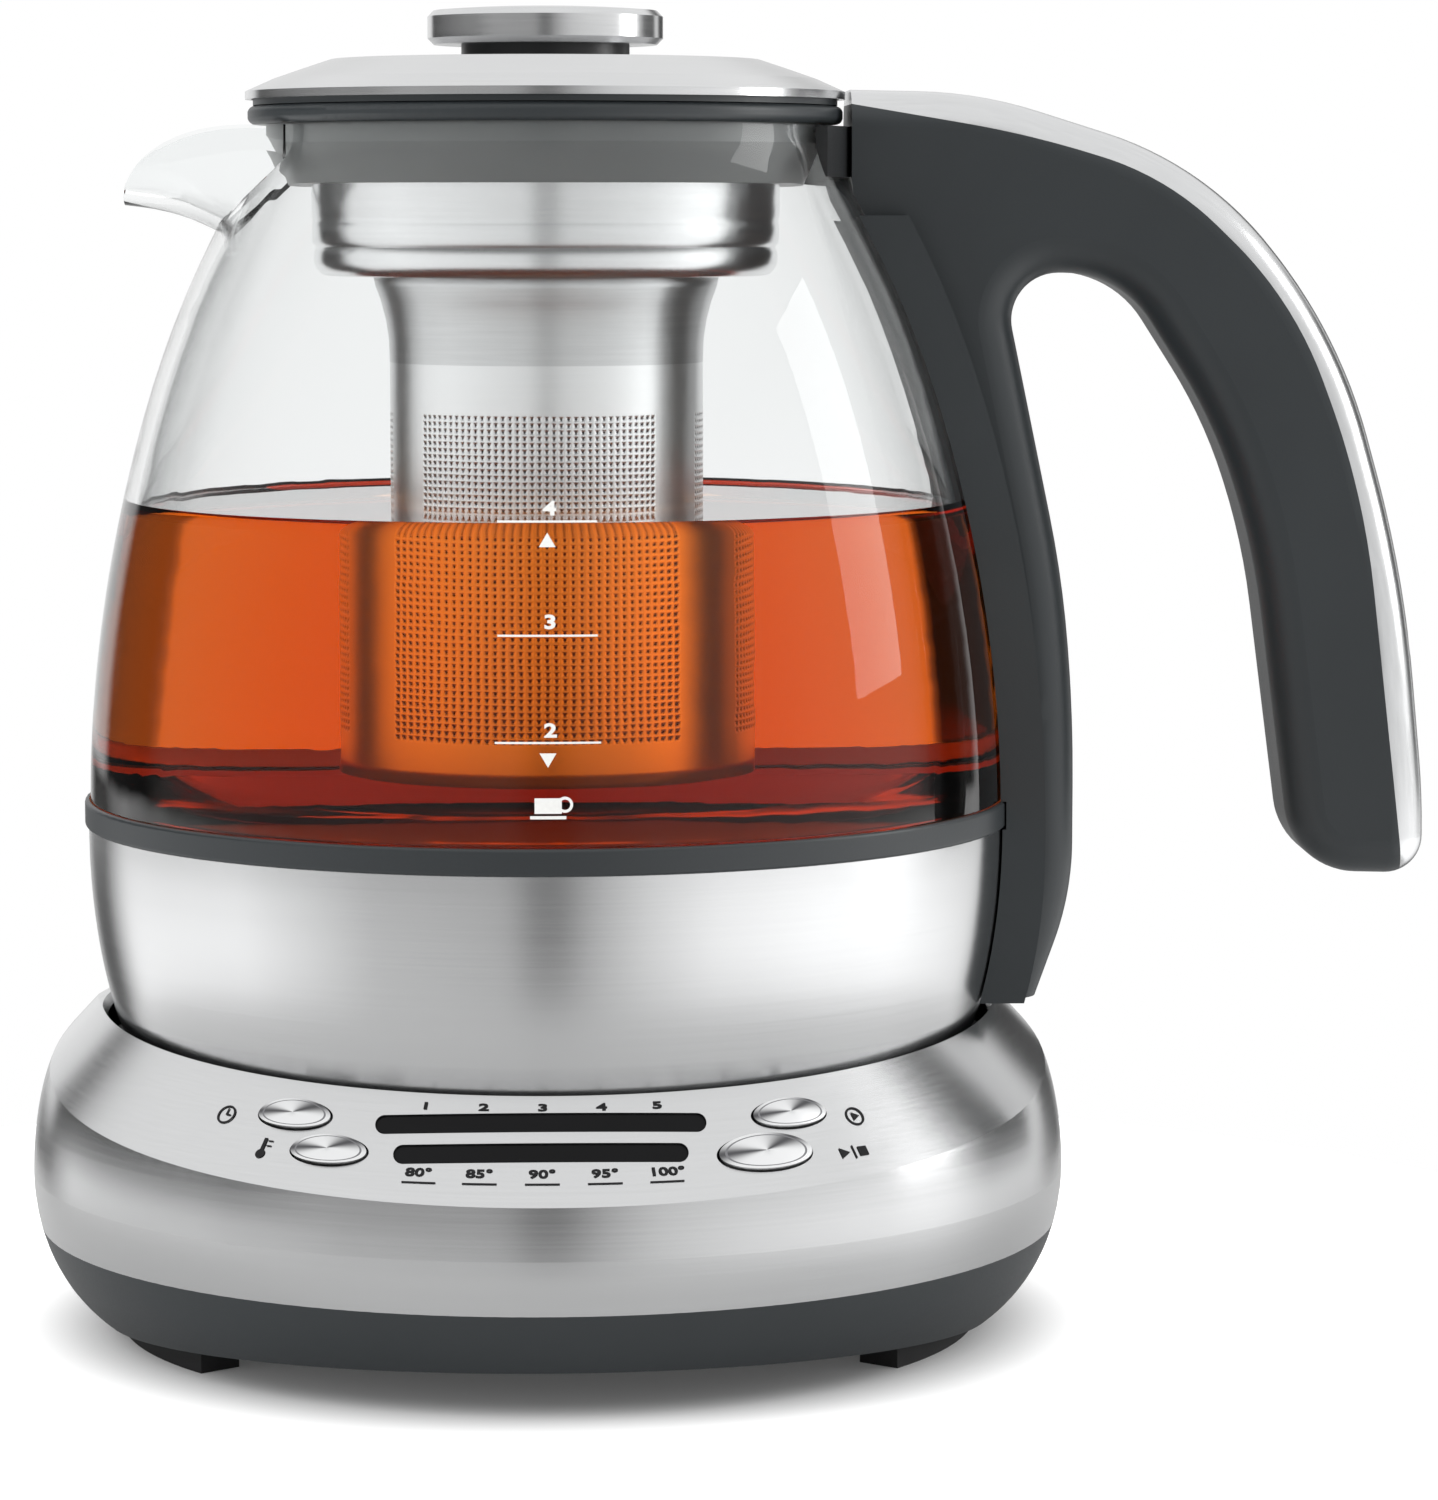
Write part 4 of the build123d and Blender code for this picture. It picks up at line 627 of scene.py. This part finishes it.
def make_strainer():
    """The basket's wall with its fine perforation, three panels of holes with plain strips between."""
    vertices, faces, index = [], [], {}

    def vertex(angle, height, r=BASKET_R):
        key = (round(angle % 360, 5), round(height, 5))
        if key not in index:
            turn = math.radians(angle)
            index[key] = len(vertices)
            vertices.append((r * math.sin(turn) * MM, -r * math.cos(turn) * MM, height * MM))
        return index[key]

    row_height = (HOLES_TO_Z - HOLES_FROM_Z) / HOLE_ROWS
    cell = PANEL_SPAN / HOLE_COLUMNS
    gap = 360.0 / HOLE_PANELS - PANEL_SPAN
    stops = []                  # (degrees, whether a cell with a hole starts there)
    for panel in range(HOLE_PANELS):
        start = 360.0 / HOLE_PANELS * panel - PANEL_SPAN / 2 + PANELS_TURNED_BY
        stops += [(start + cell * number, True) for number in range(HOLE_COLUMNS)]
        stops += [(start + PANEL_SPAN + gap * number / STRIP_STEPS, False) for number in range(STRIP_STEPS)]
    stops.append((stops[0][0] + 360.0, False))
    foot = HOLES_FROM_Z - BASKET_BOTTOM_Z
    heights = [BASKET_BOTTOM_Z + foot * number / BASKET_FOOT_STEPS for number in range(BASKET_FOOT_STEPS)]
    heights += [HOLES_FROM_Z + row_height * number for number in range(HOLE_ROWS)]
    upper = ((HOLES_TO_Z, BASKET_R), *FLARE)
    for number, height in enumerate(heights):
        above = heights[number + 1] if number + 1 < len(heights) else HOLES_TO_Z
        for (angle, holed), (following, _) in zip(stops, stops[1:]):
            corners = [vertex(angle, height), vertex(following, height),
                       vertex(following, above), vertex(angle, above)]
            if not (holed and height >= HOLES_FROM_Z - 1e-6):
                faces.append(corners)
                continue
            middle, centre = (angle + following) / 2, (height + above) / 2
            rim = []
            for across, along in ((0, -1), (1, 0), (0, 1), (-1, 0)):
                rim.append(vertex(middle + cell * HOLE * across, centre + row_height * HOLE * along))
            for side in range(4):
                near, far = corners[side], corners[(side + 1) % 4]
                faces.append((near, far, rim[side]))
                faces.append((far, rim[(side + 1) % 4], rim[side]))
    for (low, low_r), (high, high_r) in zip(upper, upper[1:]):
        for (angle, _), (following, _) in zip(stops, stops[1:]):
            faces.append((vertex(angle, low, low_r), vertex(following, low, low_r),
                          vertex(following, high, high_r), vertex(angle, high, high_r)))
    piece = new_piece("strainer", vertices, faces, strainer_steel(), "infuser")
    thick = piece.modifiers.new("wall", "SOLIDIFY")
    thick.thickness = BASKET_WALL * MM
    thick.offset = -1.0
    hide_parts("infuser_basket")


# the collar's thin wall in section: down its inside, round its flange and up its outside
COLLAR_OUTLINE = (
    (38.0, 196.0), (37.9, 185.0), (37.8, 179.0), (37.4, 177.6), (36.0, 176.8), (28.1, 176.8), (28.1, 175.8),
    (36.0, 175.8), (37.2, 176.0), (38.2, 176.9), (38.7, 178.0), (38.7, 179.7), (38.3, 180.6), (38.95, 181.5),
    (38.95, 184.4), (38.75, 185.0), (39.0, 185.6), (39.0, 196.0), (38.0, 196.0),
)


def make_collar(steel):
    """The strainer's collar with its two rolled grooves."""
    vertices, faces = lathe(COLLAR_OUTLINE, ROUND_STEPS)
    collar = new_piece("collar", vertices, faces, steel, "infuser")
    collar.data.set_sharp_from_angle(angle=math.radians(50))
    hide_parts("infuser_collar")


# ---- materials on the solids ---------------------------------------------------------------------
def paint(material, *names):
    """Gives named solids one material, in every slot that they have."""
    for name in names:
        for place in nodes[name].material_slots:
            place.material = material
        if not nodes[name].material_slots:
            nodes[name].data.materials.append(material)


def dress_nodes():
    """A material for each solid, and the collar, which shares the infuser's steel."""
    steel = brushed_steel("brushed_steel")
    slate = moulded("slate_plastic", (0.024, 0.029, 0.032))
    black = moulded("black_plastic", (0.016, 0.017, 0.018), roughness=0.38)
    paint(steel, "base_shell", "jug_shell", "lid_cap", "lid_knob")
    infuser_steel = brushed_steel("infuser_steel", tone=(0.78, 0.785, 0.79))
    paint(infuser_steel, "infuser_floor")
    make_collar(infuser_steel)
    paint(brushed_steel("trim_steel", turned=False, roughness=0.24, anisotropy=0.2), "handle_trim")
    paint(slate, "base_chassis", "handle_bracket", "handle_grip", "infuser_hanger", "lid_liner",
          "jug_base_cover")
    paint(black, "cord_gland", "base_connector", "connector_head", "jug_socket", "handle_clip", "knob_neck",
          "tact_switches", "seat_tray")
    paint(moulded("foot_rubber", (0.02, 0.02, 0.021), roughness=0.75, grain=0.3), "base_feet")
    paint(moulded("seal_silicone", (0.42, 0.42, 0.41), roughness=0.5), "lid_seal")
    paint(moulded("relay_case", (0.03, 0.10, 0.32)), "power_relay")
    paint(moulded("led_lens", (0.55, 0.12, 0.03), roughness=0.25), "display_leds")
    paint(plain_metal("screw_steel", (0.60, 0.60, 0.60), 0.3), "base_screws", "jug_cover_screws",
          "handle_screws", "knob_screw", "heater_plate")
    paint(plain_metal("contact_brass", (0.78, 0.56, 0.24), 0.25), "base_contacts", "temperature_sensor")
    paint(plain_metal("element_aluminium", (0.72, 0.73, 0.74), 0.4), "heating_element")
    paint(plain_metal("transformer_core", (0.20, 0.20, 0.21), 0.5), "power_transformer")
    paint(ring_plastic(), "jug_ring")
    paint(smoked_window(), "time_window", "temperature_window")
    paint(circuit_board(), "display_board", "button_boards", "power_board")
    paint(clear_glass(), "glass_jug")
    paint(smoke_plug(), "infuser_plug")
    for name in BUTTON_LAYOUT:
        paint(spun_button(name), name)


# ---- studio --------------------------------------------------------------------------------------
FLOOR_R = 0.21                  # metres
FLOOR_STEPS = 96
# the weak glow near the middle paints a shadow under the object
GLOW_RADII = (0.068, 0.100)     # metres from the middle, between which the glow rises
GLOW_LEVELS = (0.06, 0.60)
BEHIND_Y = 0.05                 # metres: further back, the floor also glows when seen through the glass


def make_floor():
    """A pale disc. It glows where the camera sees it, so that it fades into white, and least under the
    object, which paints a shadow there on top of the real one.
    """
    vertices = [(0.0, 0.0, 0.0)]
    for step in range(FLOOR_STEPS):
        turn = 2 * math.pi * step / FLOOR_STEPS
        vertices.append((FLOOR_R * math.cos(turn), FLOOR_R * math.sin(turn), 0.0))
    faces = [(0, step + 1, (step + 1) % FLOOR_STEPS + 1) for step in range(FLOOR_STEPS)]
    shader = Shader("studio_floor")
    cloud = shader.noise(shader.place(), 3.0)
    path = shader.node("LightPath")
    pale = shader.colours(cloud, (0.80, 0.80, 0.80), (0.82, 0.82, 0.82))
    # steel mirrors the floor darker than the camera sees it: a painted darkening of its reflections
    colour = shader.colours(path.outputs["Is Glossy Ray"], pale, (0.58, 0.58, 0.58))
    shader.set(Base_Color=colour, Roughness=0.7)
    distance = shader.node("VectorMath", shader.place(), operation="LENGTH").outputs["Value"]
    # painted shadow: the glow is weakest under the object
    glow_and_painted_shadow = shader.node("MapRange", distance, *GLOW_RADII, *GLOW_LEVELS, interpolation_type="SMOOTHSTEP")
    behind = shader.math("GREATER_THAN", shader.node("SeparateXYZ", shader.place()).outputs[1], BEHIND_Y)
    through = shader.math("MULTIPLY", path.outputs["Is Transmission Ray"], behind)
    seen = shader.math("MAXIMUM", path.outputs["Is Camera Ray"], through)
    strength = shader.math("MULTIPLY", seen, glow_and_painted_shadow.outputs[0])
    shader.set(Emission_Color=(1.0, 1.0, 1.0), Emission_Strength=strength)
    floor = new_piece("floor", vertices, faces, shader.material, None, smooth=False)


# brightness round the studio, in degrees from the front towards the right and the level there: what is
# mirrored from below eye level, what is mirrored from just above it, and what is seen through the glass
MIRRORED_LOW = ((-180, 0.70), (-168, 0.70), (-158, 0.10), (-146, 0.10), (-130, 1.45), (-82, 1.60),
                (-62, 1.20), (-45, 0.80), (-10, 0.65), (-3, 0.28), (3, 0.28), (10, 0.62), (24, 1.05),
                (42, 1.50), (72, 1.75), (100, 1.70), (118, 1.50), (134, 1.20), (146, 0.30), (160, 0.10),
                (170, 0.70), (180, 0.70))
MIRRORED = ((-180, 0.85), (-170, 0.90), (-166, 0.95), (-148, 0.95), (-143, 0.06), (-72, 0.08), (-50, 0.35),
            (-10, 0.35), (-3, 0.14), (3, 0.14), (10, 0.40), (24, 0.75), (70, 0.95), (102, 0.80), (113, 0.05),
            (133, 0.05), (136, 0.90), (143, 0.90), (147, 0.08), (164, 0.08), (170, 0.85), (180, 0.85))
THROUGH_GLASS = ((-180, 1.0), (-147, 1.0), (-146, 0.03), (-122, 0.03), (-112, 1.10), (-80, 1.30), (-30, 1.05),
                 (-9, 0.95), (-4, 0.55), (4, 0.55), (9, 0.85), (26, 0.95), (53, 1.15), (75, 1.50), (90, 1.40),
                 (110, 0.50), (118, 0.40), (146, 0.40), (147, 1.0), (180, 1.0))
PEAK = 2.5                      # the levels are kept as shares of this
ZENITH = 1.08                   # mirrored from overhead
THROUGH_ZENITH = 0.15           # seen through the glass overhead
DIFFUSE_LEVEL = 0.9
# rises between which one field passes into the next, as the z of a direction
OVERHEAD_Z = (0.33, 0.50)
LOW_Z = (-0.100, -0.085)


def make_world():
    """White to the camera, even in diffuse light, with pale and dark fields in steel and through glass."""
    world = bpy.data.worlds.new("studio")
    bpy.context.scene.world = world
    world.use_nodes = True
    tree = world.node_tree
    background = tree.nodes["Background"]

    def link(value, socket):
        if isinstance(value, bpy.types.NodeSocket):
            tree.links.new(value, socket)
        else:
            socket.default_value = value

    def math_node(operation, *values):
        made = tree.nodes.new("ShaderNodeMath")
        made.operation = operation
        for number, value in enumerate(values):
            link(value, made.inputs[number])
        return made.outputs[0]

    def mixed(factor, first, second):
        made = tree.nodes.new("ShaderNodeMix")
        for number, value in ((0, factor), (2, first), (3, second)):
            link(value, made.inputs[number])
        return made.outputs[0]

    def stepped(value, low, high):
        made = tree.nodes.new("ShaderNodeMapRange")
        made.interpolation_type = "SMOOTHSTEP"
        link(value, made.inputs["Value"])
        made.inputs["From Min"].default_value = low
        made.inputs["From Max"].default_value = high
        return made.outputs[0]

    direction = tree.nodes.new("ShaderNodeTexCoord").outputs["Generated"]
    split = tree.nodes.new("ShaderNodeSeparateXYZ")
    link(direction, split.inputs[0])
    x, y, z = split.outputs
    turn = math_node("DIVIDE", math_node("ARCTAN2", x, math_node("MULTIPLY", y, -1.0)), 2 * math.pi)
    place = math_node("ADD", turn, 0.5)

    def round_about(levels):
        ramp = tree.nodes.new("ShaderNodeValToRGB")
        link(place, ramp.inputs[0])
        stops = ramp.color_ramp.elements
        while len(stops) < len(levels):
            stops.new(0.5)
        for stop, (angle, level) in zip(stops, levels):
            stop.position = angle / 360 + 0.5
            stop.color = (level / PEAK, level / PEAK, level / PEAK, 1.0)
        return math_node("MULTIPLY", ramp.outputs[0], PEAK)

    overhead = stepped(z, *OVERHEAD_Z)
    around = mixed(stepped(z, *LOW_Z), round_about(MIRRORED_LOW), round_about(MIRRORED))
    reflected = mixed(overhead, around, ZENITH)
    through = mixed(overhead, round_about(THROUGH_GLASS), THROUGH_ZENITH)
    path = tree.nodes.new("ShaderNodeLightPath")
    level = mixed(path.outputs["Is Transmission Ray"], reflected, through)
    level = mixed(path.outputs["Is Diffuse Ray"], level, DIFFUSE_LEVEL)
    link(mixed(path.outputs["Is Camera Ray"], level, 1.0), background.inputs["Strength"])
    background.inputs["Color"].default_value = (1.0, 1.0, 1.0, 1.0)


# place in metres, width, height, watts, and whether shiny surfaces mirror it
LAMPS = {
    "left_softbox": ((-0.75, -0.35, 0.45), 0.35, 0.8, 3.0, False),
    "right_softbox": ((0.88, -0.015, 0.40), 0.28, 0.5, 2.2, True),
    "top_softbox": ((0.0, 0.1, 1.1), 0.9, 0.7, 2.5, False),
}
LAMP_TARGET = (0.02, 0.0, 0.11)


def make_lamp(name, place, width, height, watts, mirrored):
    light = bpy.data.lights.new(name, "AREA")
    light.shape = "RECTANGLE"
    light.size, light.size_y = width, height
    light.energy = watts
    lamp = bpy.data.objects.new(name, light)
    bpy.context.scene.collection.objects.link(lamp)
    lamp.location = place
    lamp.rotation_euler = (Vector(LAMP_TARGET) - Vector(place)).to_track_quat("-Z", "Y").to_euler()
    lamp.visible_camera = False
    lamp.visible_glossy = mirrored
    lamp.visible_transmission = False


def make_camera():
    data = bpy.data.cameras.new("camera")
    data.lens = CAMERA_LENS
    data.sensor_width = CAMERA_SENSOR
    camera = bpy.data.objects.new("camera", data)
    bpy.context.scene.collection.objects.link(camera)
    camera.location = CAMERA_PLACE
    camera.rotation_euler = (math.radians(90 - CAMERA_DOWN), 0.0, math.radians(-CAMERA_RIGHT))
    bpy.context.scene.camera = camera


make_camera()
dress_nodes()
make_strainer()
make_tea()
make_glass_marks()
make_panel_print()
make_floor()
make_world()
for name, lamp in LAMPS.items():
    make_lamp(name, *lamp)
bpy.context.scene.view_settings.view_transform = "Standard"
